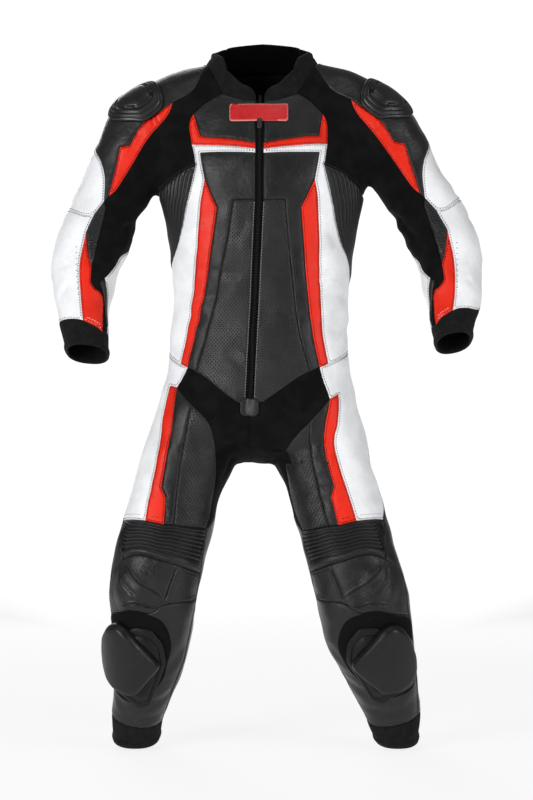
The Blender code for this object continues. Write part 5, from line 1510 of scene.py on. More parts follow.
def stretch():
    """Matt woven stretch panel: fine ribs one way, flecked."""
    look = Look("stretch_weave", 0.95, specular=0.08, sheen=0.02)
    along = look.wave(420, 60, Distortion=1.2, Detail=1.0)
    across = look.wave(60, 380, 90, Distortion=0.8)
    weave = look.maths("MULTIPLY", along, across)
    cloud = look.noise(28, 4)
    tone = look.mix(look.span(cloud, 0.35, 0.68), STRETCH_DARK, STRETCH_LIGHT)
    look.put("Base Color", look.mix(look.maths("MULTIPLY", weave, 0.25), tone, STRETCH_FLECK))
    soft = look.bump(look.noise(9, 3), 0.25, 0.6)
    look.put("Normal", look.bump(weave, 0.35, 0.25, soft))
    return look


def knit():
    """Soft rib knit of the cuffs and the collar."""
    look = Look("knit_rib", 0.92, specular=0.10, sheen=0.03)
    ribs = look.wave(1000 / KNIT_PITCH, 0.0, scale=0.5, Distortion=0.4)
    loops = look.wave(0.0, 1000 / KNIT_PITCH, 90, 0.8, Distortion=0.5)
    both = look.maths("MULTIPLY", ribs, look.maths("ADD", look.maths("MULTIPLY", loops, 0.3), 0.7))
    tone = look.mix(look.span(look.noise(12, 3), 0.35, 0.7), KNIT_DARK, KNIT_LIGHT)
    look.put("Base Color", look.mix(both, tone, KNIT_LIGHT))
    look.put("Normal", look.bump(both, 0.4, 0.5))
    return look


def lining():
    """Mesh lining on the inner side of every panel, set near black as painted shade inside the suit."""
    look = Look("lining_mesh", 0.92, specular=0.06)
    net = look.span(look.cells(2.4, "F1"), 0.25, 0.5)
    # near-black tones: the black mesh darkened as painted shade inside the suit
    tone = look.mix(look.noise(20, 3), (0.007, 0.007, 0.007, 1), (0.012, 0.012, 0.0125, 1))
    look.put("Base Color", look.mix(net, (0.003, 0.003, 0.003, 1), tone))
    look.put("Normal", look.bump(net, 0.4, 0.3))
    return look


def loops(name="loop_pile", dark=(0.004, 0.004, 0.004, 1), light=(0.009, 0.009, 0.0095, 1)):
    """The loop side of hook-and-loop tape, and fleece: a dense dull pile."""
    look = Look(name, 0.97, specular=0.04, sheen=0.02)
    pile = look.noise(1.4, 5, 0.7)
    tufts = look.cells(1.8, "F1")
    look.put("Base Color", look.mix(look.span(pile, 0.4, 0.65), dark, light))
    look.put("Normal", look.bump(pile, 0.8, 0.9, look.bump(tufts, 0.6, 0.6)))
    return look


def plastic(name, colour, rough, scuffs, specular=0.45):
    """Moulded plastic with a fine spark-eroded face and a few light scuffs."""
    look = Look(name, rough, specular=specular)
    cloud = look.noise(24, 4)
    scratch = look.node("ShaderNodeTexNoise", "Fac", {
        "Vector": look.node("ShaderNodeMapping", "Vector", {
            "Vector": look.place, "Rotation": (0.3, 0.5, 0.7), "Scale": (1, 14, 1)}),
        "Scale": 90.0, "Detail": 3.0})
    lines = look.maths("MULTIPLY", look.span(scratch, 0.60, 0.70), look.span(cloud, 0.5, 0.62))
    tone = look.mix(cloud, shade(colour, 0.8), shade(colour, 1.25))
    look.put("Base Color", look.mix(look.maths("MULTIPLY", lines, scuffs), tone, (0.2, 0.2, 0.2, 1)))
    look.put("Roughness", look.maths("ADD", look.span(cloud, 0.3, 0.7, rough - 0.05, rough + 0.06),
                                     look.maths("MULTIPLY", lines, 0.15)))
    look.put("Normal", look.bump(look.noise(0.8, 2), 0.12, 0.10))
    return look


def thread(name, colour):
    look = Look(name, 0.7, specular=0.15)
    twist = look.noise(0.7, 2)
    look.put("Base Color", look.mix(twist, shade(colour, 0.75), shade(colour, 1.2)))
    look.put("Normal", look.bump(twist, 0.4, 0.15))
    return look


def hole():
    """The pale rim of a small punched hole."""
    look = Look("punched_hole", 0.9, specular=0.1)
    look.put("Base Color", look.mix(look.noise(1.2), (0.20, 0.20, 0.21, 1), (0.30, 0.30, 0.31, 1)))
    return look


def metal():
    look = Look("zip_metal", 0.40, metallic=1.0)
    cloud = look.noise(1.6, 3)
    look.put("Base Color", look.mix(cloud, (0.035, 0.035, 0.037, 1), (0.09, 0.09, 0.093, 1)))
    look.put("Roughness", look.span(cloud, 0.3, 0.7, 0.28, 0.45))
    return look


def tape():
    look = Look("zip_tape_weave", 0.85, specular=0.06)
    weave = look.wave(900, 0, Distortion=0.6)
    look.put("Base Color", look.mix(weave, (0.002, 0.002, 0.002, 1), (0.005, 0.005, 0.005, 1)))
    look.put("Normal", look.bump(weave, 0.4, 0.2))
    return look


MATERIAL = {
    "leather_black": leather("leather_black_hide", BLACK, BLACK_WORN, 0.35, 0.29),
    "leather_red": leather("leather_red_hide", RED, RED_WORN, 0.46, 0.28, grain=0.22),
    "leather_white": leather("leather_white_hide", WHITE, WHITE_DIRT_AND_SHADE, 0.44, 0.35, grain=0.20,
                             wrinkle=0.4),
    "leather_perforated": perforated(),
    "stretch_black": stretch(),
    "knit_black": knit(),
    "lining": lining(),
    "loops": loops(),
    "plastic_satin": plastic("plastic_satin", (0.008, 0.008, 0.0085, 1), 0.34, 0.10),
    "plastic_matt": plastic("plastic_matt", (0.007, 0.007, 0.0076, 1), 0.36, 0.06, 0.26),
    "plastic_dark": plastic("plastic_dark", (0.004, 0.004, 0.0044, 1), 0.42, 0.05, 0.20),
    "patch_red": leather("patch_red_hide", PATCH_RED, PATCH_RED_WORN, 0.38, 0.45, grain=0.12),
    "thread_black": thread("thread_black", (0.045, 0.045, 0.047, 1)),
    # grey thread on white: the thread and the painted shade of its stitch groove
    "thread_white": thread("thread_white", (0.24, 0.24, 0.25, 1)),
    "thread_pale": thread("thread_pale", (0.85, 0.62, 0.55, 1)),
    # near-black fleece inside the collar, darker than black cloth: painted shade
    "collar_inner": loops("collar_inner_fleece", (0.0008, 0.0008, 0.0008, 1),
                          (0.0016, 0.0016, 0.0017, 1)),
    "patch_edge": thread("patch_edge", (0.72, 0.30, 0.24, 1)),
    "thread_grey": thread("thread_grey", (0.30, 0.30, 0.31, 1)),
    # dark red thread on red: the thread and the painted shade of its stitch groove
    "thread_red": thread("thread_red", (0.14, 0.006, 0.004, 1)),
    "hole": hole(),
    "zip_metal": metal(),
    "zip_tape": tape(),
}
MATERIAL = {key: look.material for key, look in MATERIAL.items()}


# ---------------------------------------------------------------- objects
SUIT = bpy.data.collections.new("race_suit_looks")
bpy.context.scene.collection.children.link(SUIT)


def made(name, points, faces, materials, index=None, uv=None, wear=None, slot=None, stands_for=()):
    """A piece of the suit from points in millimetres."""
    mesh = bpy.data.meshes.new(name)
    mesh.from_pydata((np.asarray(points) * MM).tolist(), [], [tuple(map(int, f)) for f in faces])
    for material in materials:
        mesh.materials.append(material)
    if index is not None:
        mesh.polygons.foreach_set("material_index", np.asarray(index, np.int32))
    corners = np.zeros(len(mesh.loops), np.int32)
    mesh.loops.foreach_get("vertex_index", corners)
    if uv is not None:
        layer = mesh.uv_layers.new(name="cloth")
        layer.data.foreach_set("uv", (np.asarray(uv)[corners] * MM).astype(np.float32).ravel())
    if wear is not None:
        values = mesh.attributes.new("wear", "FLOAT", "POINT").data
        values.foreach_set("value", np.asarray(wear, np.float32))
    mesh.shade_smooth()
    mesh.update()
    piece = bpy.data.objects.new(name, mesh)
    SUIT.objects.link(piece)
    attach(piece, "root")
    if stands_for:
        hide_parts(*stands_for)
    return piece


def banded(rows, count, closed=False):
    """Faces between rings of `count` points, each on the one before it, or on round to the first."""
    return [(r * count + k, r * count + (k + 1) % count, (r + 1) % rows * count + (k + 1) % count,
             (r + 1) % rows * count + k) for r in range(rows - (not closed)) for k in range(count)]


def capped(rows, count):
    """The same faces, and then one to close each end."""
    last = (rows - 1) * count
    return banded(rows, count) + [tuple(range(count))[::-1], tuple(range(last, last + count))]


def shell(name, patch, relief, thickness, material, slot, stands_for=(), lift=0.0, gap=SEAM_GAP,
          border=None):
    """A thin sheet of cloth over a patch. Its cut's size and area are worked out."""
    count = len(patch.at)
    base = patch.relief + lift
    shift = np.zeros((count, 3))
    shift[patch.rim] = rim_shift(patch.at[patch.rim], patch.normal[patch.rim], gap)
    outer = patch.at + patch.normal * (base + relief)[:, None] + shift
    inner = patch.at + patch.normal * (base - thickness)[:, None] + shift
    a, b = patch.rim, np.roll(patch.rim, -1)
    edge = np.vstack([np.stack([b, a, a + count], 1), np.stack([b, a + count, b + count], 1)])
    faces = np.vstack([patch.faces, edge, patch.faces[:, ::-1] + count])
    index = np.repeat([0, 1], [len(patch.faces) + len(edge), len(patch.faces)])
    # closeness to a seam and depth of folds and creases, for the second tone: wear on black and red,
    # dirt and painted shade on white
    wear = np.exp(-patch.away / SEAM_RUB_AND_SHADE_FADE) * SEAM_RUB_AND_SHADE + np.clip(np.abs(patch.relief) / 4, 0, 0.5)
    materials = [material, MATERIAL["lining"]]
    if border:
        width, edging = border
        index[:len(patch.faces)][patch.away[patch.faces].mean(1) < width] = 2
        index[len(patch.faces):len(patch.faces) + len(edge)] = 2
        materials.append(edging)
    piece = made(name, np.vstack([outer, inner]), faces, materials, index,
                 np.vstack([patch.uv, patch.uv]), np.concatenate([wear, wear]), slot, stands_for)
    size, area = patch.cut()


def laid(name, patch, drop, thick, lift, material, slot, stands_for=(), border=None):
    """A piece that lies on the panels, with its edge rounded off by `drop`."""
    relief = -drop * np.clip(1 - patch.away / PATCH_EDGE, 0, 1) ** 2
    shell(name, patch, relief, thick, MATERIAL[material], slot, stands_for, lift, 0.0, border)


def sewn(name, side):
    form, cloth, names = PAIRED[name]
    tube, ribs = tube_of(form, side), RELIEF.get(name)
    if name in RIB_ROWS:
        patch = Patch(tube, loop_of(names, side)[:: FINEST // 8], 0, COARSE, RIB_ROWS[name])
    else:
        levels = LEVELS + FINER.get(name, 0)
        patch = Patch(tube, loop_of(names, side)[:: FINEST // 2**levels], levels)
    relief = rolled(patch) + (ribs(patch) if ribs else 0)
    finish = FINISH.get(name, cloth)
    shell(f"{name}_{side}_cloth", patch, relief, THICKNESS[cloth], MATERIAL[finish], cloth,
          [f"{name}_{side}"])
    return patch


# ---------------------------------------------------------------- sewn panels
def panels():
    """Every sewn panel but the cuffs, with its patch for what is laid on it."""
    patches = {}
    for name in PAIRED:
        if name in CUFFS:
            continue
        for side in "rl":
            patches[name, side] = sewn(name, side)
    form, cloth, names = SINGLE["back"]
    patches["back", "r"] = back = Patch(TUBES[form], loop_of(names, "r")[:: FINEST // 2**LEVELS])
    shell("back_cloth", back, rolled(back), THICKNESS[cloth], MATERIAL[cloth], cloth, ["back"])
    edge = np.vstack([loop_of(EDGE_OF_ZIP, "r"), SEAM_POINTS["edge_yoke", "l"][:1]])
    edge = edge[: len(edge) // FINEST * FINEST][:: FINEST // 2**LEVELS]
    patches["zip", "r"] = slot = Patch(TUBES["torso"], edge)
    shell("zip_cloth", slot, np.zeros(len(slot.at)), ZIP_THICK, MATERIAL["zip_tape"], "zip_tape",
          ["zip"], lift=-ZIP_SUNK)
    return patches


# ---------------------------------------------------------------- cuffs and collar
def closed_band(name, side):
    """A cuff all round the limb's end, with a thick soft rolled rim."""
    form, cloth, names = PAIRED[name]
    tube = TUBES[f"{form}_{side}"]
    edge = loop_of(names, side)
    angle, _ = tube.locate(edge)
    count, last = len(edge), (len(tube.half) - 1) / tube.STEPS
    end = cast(tube, angle, np.full(count, last))
    middle = tube.rings(np.array([last]))[0][0]
    down = unit(middle - edge.mean(0))
    seam_normal = outward(edge)
    shift = rim_shift(edge, seam_normal, SEAM_GAP)
    shift *= np.sign((shift @ down).sum())
    shares = np.linspace(0, 1, CUFF_ROWS)
    tops = [edge + shift if t == 0 else on_skin(edge * (1 - t) + end * t, 2) if t < 1 else end
            for t in shares]
    normals = [seam_normal if t == 0 else outward(p) for t, p in zip(shares, tops)]
    normals[-1] = unit(normals[-1] - (normals[-1] @ down)[:, None] * down)
    run = run_of(edge)
    height = np.linalg.norm(end - edge, axis=1)
    knit_ribs = CUFF_RIB_RISE * np.cos(2 * np.pi * np.round(run[-1] / CUFF_RIB) * run / run[-1])
    outer, inner = [], []
    for t, p, n in zip(shares, tops, normals):
        away, from_rim = t * height, (1 - t) * height
        roll = -ROLL_DROP * np.clip(1 - away / ROLL_WIDTH, 0, 1) ** 2
        bulge, groove = (rise * bell(from_rim, place, wide)
                         for rise, place, wide in (CUFF_ROLL, CUFF_GROOVE))
        relief = cloth_relief(p) * min(1.0, 3 * (1 - t) + 0.3) + roll + bulge + groove
        relief += knit_ribs * np.clip(from_rim / 12 - 1, 0, 1) * np.clip(away / 5, 0, 1)
        outer.append(p + n * relief[:, None])
        inner.append(p + n * (cloth_relief(p) * 0.3 - THICKNESS[cloth] - 0.4 * bulge)[:, None])
    rim_out, rim_in, n = outer[-1], inner[-1], normals[-1]
    reach = np.linalg.norm(rim_out - rim_in, axis=1)[:, None] / 2
    round_rim = [(rim_out + rim_in) / 2 + n * reach * math.cos(a) + down * reach * math.sin(a) * 1.2
                 for a in np.radians(np.arange(22.5, 180, 22.5))]
    sections = outer + round_rim + inner[::-1]
    points = np.vstack(sections)
    total = len(sections)
    uv = [np.stack([run, np.full(count, r * float(height.mean()) / CUFF_ROWS)], 1)
          for r in range(total)]
    faces = np.array(banded(total, count, closed=True))
    a, b, c = (points[faces[0, k]] for k in range(3))
    if np.cross(b - a, c - a) @ normals[0][0] < 0:
        faces = faces[:, ::-1]
    outside = CUFF_ROWS + len(round_rim)
    index = np.repeat([0, 1], [count * outside, count * (total - outside)])
    piece = made(f"{name}_{side}_cloth", points, faces, [MATERIAL["knit_black"], MATERIAL["lining"]],
                 index, np.vstack(uv), None, "knit_black", [f"{name}_{side}"])


def collar():
    """The stand-up collar of soft binding, rolled at its top and open in front."""
    right = loop_of("neck_front_r neck_stretch_r neck_shoulder_r neck_rear_r", "r")
    left = loop_of("neck_front_l neck_stretch_l neck_shoulder_l neck_rear_l", "l")
    base = np.vstack([right, SEAM_POINTS["neck_rear", "r"][-1:], left[::-1]])
    run = run_of(base)
    near = COLLAR_ROUND * (1 - np.cos(np.linspace(0.05, 0.5, 9) * math.pi))
    even = np.linspace(near[-1], run[-1] - near[-1], math.ceil(run[-1] / COLLAR_STEP))[1:-1]
    at = np.concatenate([near, even, run[-1] - near[::-1]])
    base = on_skin(np.stack([np.interp(at, run, base[:, k]) for k in range(3)], 1))
    normal = outward(base)
    along = unit(np.gradient(base, axis=0))
    inward = unit(np.cross(along, normal))
    inward *= np.sign((inward * (np.array(NECK_MIDDLE) - base)).sum(1))[:, None]
    share = np.minimum(at, run[-1] - at) / (run[-1] / 2)
    rows = smooth_rows(COLLAR_SHAPE, 8).T
    lean = np.interp(share, rows[0], rows[2])
    up = unit(inward * lean[:, None] + np.array([0, 0, 1.0]))
    thick = unit(np.cross(along, up))
    thick *= np.sign((thick * normal).sum(1))[:, None]
    height = np.interp(share, rows[0], rows[1])
    end = np.clip(np.minimum(at, run[-1] - at) / COLLAR_ROUND, 0, 1)
    height = height * np.sqrt(np.maximum(1 - (1 - end) ** 2, 0))
    foot = base + inward * SEAM_GAP / 2 - normal * THICKNESS["leather_black"]
    total = (height + THICKNESS["leather_black"])[:, None]
    sections = [foot - up * COLLAR_UNDER - thick * SEAM_GAP]
    for share in np.linspace(0, 1, COLLAR_ROWS):
        from_top = (1 - share) * total
        roll, groove = (rise * bell(from_top, place, wide)
                        for rise, place, wide in (COLLAR_ROLL, COLLAR_GROOVE))
        ripple = (0.45 * np.sin(at / 17 + 3 * share) + 0.3 * np.sin(at / 7.1 + 5 * share))[:, None]
        fade = np.clip(from_top / 3.0, 0, 1)
        sections.append(foot + up * (total * share - COLLAR_SOFT * (share == 1))
                        + thick * (roll + groove + ripple * share) * fade)
    sections.append(foot + up * total - thick * COLLAR_THICK / 2)
    for share in np.linspace(1, 0, COLLAR_ROWS // 2):
        sections.append(foot + up * (total * share - COLLAR_SOFT * (share == 1)) - thick * COLLAR_THICK)
    sections.append(foot - up * COLLAR_UNDER - thick * COLLAR_THICK)
    sections = np.stack(sections, 1)
    size = sections.shape[1]
    faces = capped(len(at), size)
    points = sections.reshape(-1, 3)
    a, b, c = (points[[face[k] for face in faces[:-2]]] for k in range(3))
    if (np.cross(a, b) * c).sum() < 0:
        faces = [face[::-1] for face in faces]
    flat = np.stack(np.meshgrid(at, np.arange(size) * 2.0, indexing="ij"), -1).reshape(-1, 2)
    within = np.arange(size) > COLLAR_ROWS + 1
    index = np.concatenate([np.tile(within, len(at) - 1), (False, False)])
    piece = made("collar_cloth", points, faces, [MATERIAL["knit_black"], MATERIAL["collar_inner"]],
                 index, flat, None, "knit_black", ["collar"])


# ---------------------------------------------------------------- patches
def rounded(x0, x1, z0, z1, corner, step):
    """A closed outline with round corners, by width and height."""
    turns = np.radians(np.arange(0, 90.1, 15))
    points = []
    for cx, cz, start in ((x1 - corner, z1 - corner, 0), (x0 + corner, z1 - corner, 90),
                          (x0 + corner, z0 + corner, 180), (x1 - corner, z0 + corner, 270)):
        a = turns + math.radians(start)
        points.append(np.stack([cx + corner * np.cos(a), cz + corner * np.sin(a)], 1))
    points = np.vstack(points)
    closed = np.vstack([points, points[:1]])
    return evenly(closed, max(12, round(steps_of(closed).sum() / step)))[:-1]


def patches_on_front():
    """The plain badge with its pale border, and the tab under the zip's end."""
    edging = (BADGE_BORDER, MATERIAL["patch_edge"])
    for name, cloth, drop, sizes, border in (("badge", "patch_red", 0.8, BADGE, edging),
                                             ("zip_tab", "leather_black", 0.9, ZIP_TAB, None)):
        *box, corner, thick = sizes
        patch = Patch(TUBES["torso"], seen(*rounded(*box, corner, 2.2).T), 0, PATCH_STEP)
        laid(f"{name}_patch", patch, drop, thick, PATCH_CLEAR + thick, cloth, cloth, [name], border)
    PATCHES["zip_tab", "r"] = patch


def loop_patch(side):
    """Loop tape on the outer knee, which the slider's hooks hold to."""
    line = drawn("leg", side, LOOP_PATCH, 3.5, closed=True)[:-1]
    pile = Patch(TUBES[f"leg_{side}"], line, 0, 4.0)
    laid(f"knee_loop_patch_{side}", pile, *LOOP_TAPE, "loops", "stretch_black")


def fore_strip(side):
    """A narrow leather strip beside the seam down the inner forearm."""
    turn, wide = FORE_STRIP
    tube = TUBES[f"sleeve_{side}"]
    angle, ring = tube.locate(SEAM_POINTS["gusset_low", side][:: FINEST // 2])
    middle = on_skin(evenly(cast(tube, angle + turn, ring), 30)[2:-2], 2)
    normal = outward(middle)
    along = unit(np.gradient(middle, axis=0))
    across = unit(np.cross(normal, along))
    share = np.linspace(0, 1, len(middle))
    ends = np.sqrt(np.sin(np.pi * np.clip(share, 0.004, 0.996)))
    half = wide / 2 * np.clip(ends * 2.4, 0, 1)[:, None]
    line = np.vstack([middle + across * half, (middle - across * half)[::-1]])
    closed = evenly(np.vstack([line, line[:1]]), 90)[:-1]
    strip = Patch(tube, on_skin(closed, 2), 0, 3.6)
    laid(f"fore_strip_{side}", strip, *FORE_LEATHER, "leather_black", "leather_black")


# ---------------------------------------------------------------- hard pads
def pad_points(tube, angle, ring, flat):
    """Skin points and normals at flat offsets round a place on a limb."""
    rings = tube.ring_of(tube.length_at(ring) + flat[:, 1])
    p = cast_many(tube, angle + np.degrees(flat[:, 0] / tube.radius(ring)), rings)
    return p, in_chunks(outward, p)


def moulded(name, tube, angle, ring, outline, rows, material, stands_for=(), shift=(0.0, 0.0)):
    """A moulded pad: rings of its outline, each with its size and its height over the skin."""
    count = len(outline)
    centre = outline.mean(0)
    flat = np.vstack([centre + (outline - centre) * size + np.array(shift) * (1 - size)
                      for size, _ in rows])
    heights = np.concatenate([np.broadcast_to(height, count) for _, height in rows])
    p, normal = pad_points(tube, angle, ring, flat)
    points = p + normal * heights[:, None]
    faces = capped(len(rows), count)
    a, b, c = (points[[face[k] for face in faces[:-2]]] for k in range(3))
    if (np.cross(b - a, c - a) * normal[[face[0] for face in faces[:-2]]]).sum() < 0:
        faces = [face[::-1] for face in faces]
    made(name, points, faces, [material], slot="plastic_black", stands_for=stands_for)


def shoulder_cup(side):
    """The hard shoulder cup: a domed shell off its middle, with ridges and vents round it."""
    turn = np.linspace(0, 2 * math.pi, PAD_TURNS, endpoint=False)
    outline = evenly(cornered(CUP, CUP_CORNER), PAD_TURNS)[:-1]
    first = int(np.argmin(np.abs(np.arctan2(outline[:, 1], outline[:, 0]))))
    outline = np.roll(outline, -first, axis=0)
    if np.cross(outline[0], outline[1]) < 0:
        outline = np.roll(outline[::-1], 1, axis=0)
    rows = [(0.97, CUP_CLEAR)]
    for size in np.linspace(1.0, CUP_SHELL[0][0], CUP_ROWS):
        level = np.interp(size, *zip(*CUP_SHELL))
        height = CUP_CLEAR + CUP_WALL * min(1, (1 - size) * 30 + 0.4) + CUP_RISE * level
        height = np.full(PAD_TURNS, float(height))
        for at, first, wide in CUP_VENTS:
            gap = np.abs((turn - first + math.pi) % (2 * math.pi) - math.pi)
            height -= CUP_VENT * np.exp(-(((size - at) / 0.035) ** 4)) * np.exp(-((gap / wide) ** 4))
        rows.append((size, height))
    moulded(f"shoulder_cup_{side}_shell", TUBES[f"sleeve_{side}"], CUP_ANGLE, CUP_RING, outline, rows,
            MATERIAL["plastic_satin"], [f"shoulder_cup_{side}"], CUP_SHIFT)


def flat_places(form, knots, angle, ring):
    """Flat offsets, from a place on a limb, of places seen from the front on the right side."""
    tube = TUBES[f"{form}_r"]
    turn, at = cuts(form, [spot(knot) for knot in knots])
    return np.stack([np.radians(turn - angle) * tube.radius(ring),
                     tube.length_at(at) - tube.length_at(ring)], 1)


def backing_plate(side):
    """The slider's moulded backing, which shows on its inner side."""
    flat = flat_places("leg", BACKING, SLIDER_ANGLE, SLIDER_RING)
    outline = evenly(cornered(flat, BACKING_CORNER), PAD_TURNS)[:-1]
    rows = [(0.97, 2.0), (0.99, BACKING_CLEAR)]
    rows += [(size, BACKING_CLEAR + BACKING_RISE * min(1, (1 - size) * 14 + 0.35) ** 0.5)
             for size in (1.0, 0.985, 0.97, 0.95, 0.92, 0.88)]
    rows += [(size, BACKING_CLEAR + BACKING_RISE * (0.6 if abs(size - 0.84) < 0.02 else 1.0))
             for size in (0.87, 0.86, 0.85, 0.84, 0.83, 0.82, 0.6, 0.4)]
    moulded(f"knee_slider_{side}_backing", TUBES[f"leg_{side}"], SLIDER_ANGLE, SLIDER_RING, outline,
            rows, MATERIAL["plastic_dark"])


def knee_slider(side):
    """The knee slider: a bevelled puck with a nearly flat face and a pressed line round it."""
    outline = evenly(cornered([(u, -v) for u, v in SLIDER], SLIDER_CORNER), PAD_TURNS)[:-1]
    at, wide, deep = SLIDER_LINE
    rows = [(0.95, SLIDER_CLEAR)]
    for size in np.linspace(1.0, SLIDER_SHELL[0][0], SLIDER_ROWS):
        level = np.interp(size, *zip(*SLIDER_SHELL))
        height = SLIDER_CLEAR + SLIDER_WALL * min(1, (1 - size) * 24 + 0.3) + SLIDER_RISE * level
        rows.append((size, float(height - deep * bell(size, at, wide))))
    moulded(f"knee_slider_{side}_puck", TUBES[f"leg_{side}"], SLIDER_ANGLE, SLIDER_RING, outline, rows,
            MATERIAL["plastic_matt"], [f"knee_slider_{side}"])


def cornered(knots, radius, parts=7):
    """A closed line of straight sides with rounded corners, whose last point repeats the first."""
    knots = np.asarray(knots, float)
    line = []
    for a, b, c in zip(np.roll(knots, 1, axis=0), knots, np.roll(knots, -1, axis=0)):
        cut = min(radius, 0.46 * np.linalg.norm(b - a), 0.46 * np.linalg.norm(c - b))
        first, last = b + unit(a - b) * cut, b + unit(c - b) * cut
        line += [(1 - t) ** 2 * first + 2 * t * (1 - t) * b + t * t * last
                 for t in np.linspace(0, 1, parts)]
    return np.vstack([line, line[:1]])


# ---------------------------------------------------------------- stitches, teeth and holes
STITCH = np.array(((-0.5, 0, -0.2), (-0.28, -1, 0), (-0.28, 0, 1), (-0.28, 1, 0), (0.28, -1, 0),
                   (0.28, 0, 1), (0.28, 1, 0), (0.5, 0, -0.2)))
STITCH_FACES = np.array(((0, 2, 1), (0, 3, 2), (0, 1, 3), (1, 2, 5), (1, 5, 4), (2, 3, 6), (2, 6, 5),
                         (3, 1, 4), (3, 4, 6), (7, 4, 5), (7, 5, 6), (7, 6, 4)))
BLOCK = np.array([(x, y, z) for x in (-0.5, 0.5) for y in (-0.5, 0.5) for z in (0, 1)])
BLOCK_FACES = np.array(((0, 1, 3), (0, 3, 2), (4, 6, 7), (4, 7, 5), (0, 4, 5), (0, 5, 1),
                        (2, 3, 7), (2, 7, 6), (0, 2, 6), (0, 6, 4), (1, 5, 7), (1, 7, 3)))


def repeated(shape, faces, at, along, across, up, size):
    """Copies of a small shape at each point, turned to its own directions."""
    local = shape * np.array(size)
    points = (at[:, None] + local[None, :, :1] * along[:, None] + local[None, :, 1:2] * across[:, None]
              + local[None, :, 2:] * up[:, None])
    every = faces[None] + (np.arange(len(at)) * len(shape))[:, None, None]
    return points.reshape(-1, 3), every.reshape(-1, faces.shape[1])


def inset(patch, offset):
    """Runs of points at one distance inside a patch's rim."""
    rim = patch.at[patch.rim]
    way = rim_shift(rim, patch.normal[patch.rim], 2.0)
    way *= np.minimum(1, 1.7 / np.linalg.norm(way, axis=1))[:, None]
    p = on_skin(rim + way * offset, 1)
    away, _ = nearest_on(p, rim)
    kept = away > 0.82 * offset
    if kept.all():
        return [np.vstack([p, p[:1]])]
    first = int(np.argmin(kept))
    p, kept = np.roll(p, -first, axis=0), np.roll(kept, -first)
    runs, run = [], []
    for point, good in zip(p, kept):
        if good:
            run.append(point)
        elif run:
            runs.append(np.array(run))
            run = []
    return runs + ([np.array(run)] if run else [])


def spaced(line, pitch):
    """Even points along a line, with its direction at each."""
    length = steps_of(line).sum()
    if length < 3 * pitch:
        return None
    ends = evenly(line, round(length / pitch))
    return (ends[1:] + ends[:-1]) / 2, unit(ends[1:] - ends[:-1])


def stitches():
    """Rows of stitches inside the edges of every leather piece, one mesh for each thread."""
    rows = {}

    def keep(thread, line, lift):
        found = spaced(line, STITCH_PITCH)
        if found:
            rows.setdefault(thread, []).append((*found, np.full(len(found[0]), lift)))

    for (name, side), patch in PATCHES.items():
        cloth = PAIRED[name][1] if name in PAIRED else LAID_CLOTH.get(name)
        thread = THREAD.get(cloth)
        if thread is None:
            continue
        lift = PATCH_CLEAR + ZIP_TAB[-1] if name == "zip_tab" else 0.0
        for run in inset(patch, STITCH_INSET):
            keep(thread, run, lift)
        if name == "zip_tab":
            for run in inset(patch, TAB_SECOND_INSET):
                keep(thread, run, lift)
        for piece, seam, offset, own in STITCH_ROWS:
            if piece != name:
                continue
            line = SEAM_POINTS[seam, side]
            for run in inset(patch, offset):
                gap, share = along_line(run, line[::4])
                beside = (gap < offset * 1.25) & (share > 0.01) & (share < 0.99)
                if beside.sum() > 2:
                    keep(own, run[beside], lift)
    for thread, found in rows.items():
        at, along, lift = (np.concatenate(column) for column in zip(*found))
        up = in_chunks(outward, at)
        relief = in_chunks(cloth_relief, at)
        across = unit(np.cross(up, along))
        at = at + up * (relief + lift - 0.12)[:, None]
        points, faces = repeated(STITCH, STITCH_FACES, at, along, across, up,
                                 (STITCH_LENGTH, STITCH_WIDE, STITCH_HIGH))
        made(f"stitches_{thread}", points, faces, [MATERIAL[thread]], slot=THREAD_SLOT[thread])


def zip_line(top, foot, count=160):
    """The front zip's middle line on the skin."""
    z = np.linspace(top, foot, count)
    return cast(TUBES["torso"], 0 * z, ring_at(z))


def zip_teeth():
    """Two rows of moulded teeth that mesh down the zip's middle."""
    at, along = spaced(zip_line(ZIP_TOP, ZIP_FOOT), TOOTH_PITCH / 2)
    up = outward(at)
    across = unit(np.cross(up, along))
    own = np.where(np.arange(len(at)) % 2, 1.0, -1.0)[:, None]
    at = at + across * own * 1.1 + up * (cloth_relief(at) - ZIP_SUNK - 0.2)[:, None]
    points, faces = repeated(BLOCK, BLOCK_FACES, at, across, along, up, TOOTH)
    made("zip_teeth", points, faces, [MATERIAL["plastic_dark"]], slot="plastic_black")


def slab(name, place, right, up, out, outline, rows, stands_for=()):
    """A small metal part on a flat base: rings of an outline, each with its size and height."""
    centre = outline.mean(0)
    points = []
    for size, height in rows:
        flat = centre + (outline - centre) * size
        points.append(place + flat[:, :1] * right + flat[:, 1:] * up + height * out)
    made(name, np.vstack(points), capped(len(rows), len(outline)), [MATERIAL["zip_metal"]],
         slot="metal_dark", stands_for=stands_for)


def zip_slider():
    """The zip's slider body and its flat pull, hanging under the badge."""
    here, below = zip_line(SLIDER_HEIGHT, SLIDER_HEIGHT - 10.0, 2)
    out = outward(here[None])[0]
    up = unit(here - below)
    right = unit(np.cross(up, out))
    out = np.cross(right, up)
    wide, tall, deep = ZIP_SLIDER
    body = rounded(-wide / 2, wide / 2, -tall / 2, tall / 2, 2.6, 1.2)
    edge = [(0.9, 0.0), (1.0, 0.5), (1.0, deep - 1.0), (0.94, deep - 0.3), (0.84, deep)]
    slab("zip_slider_body", here + out * 0.6, right, up, out, body, edge, ["zip_slider"])
    pull = evenly(smooth_line(np.array(ZIP_PULL + ZIP_PULL[:1], float), 4, closed=True), 30)[:-1]
    slab("zip_slider_pull", here + out * (deep + 0.9), right, up, out, pull,
         [(0.92, 0.0), (1.0, 0.4), (1.0, 1.1), (0.9, 1.5)])


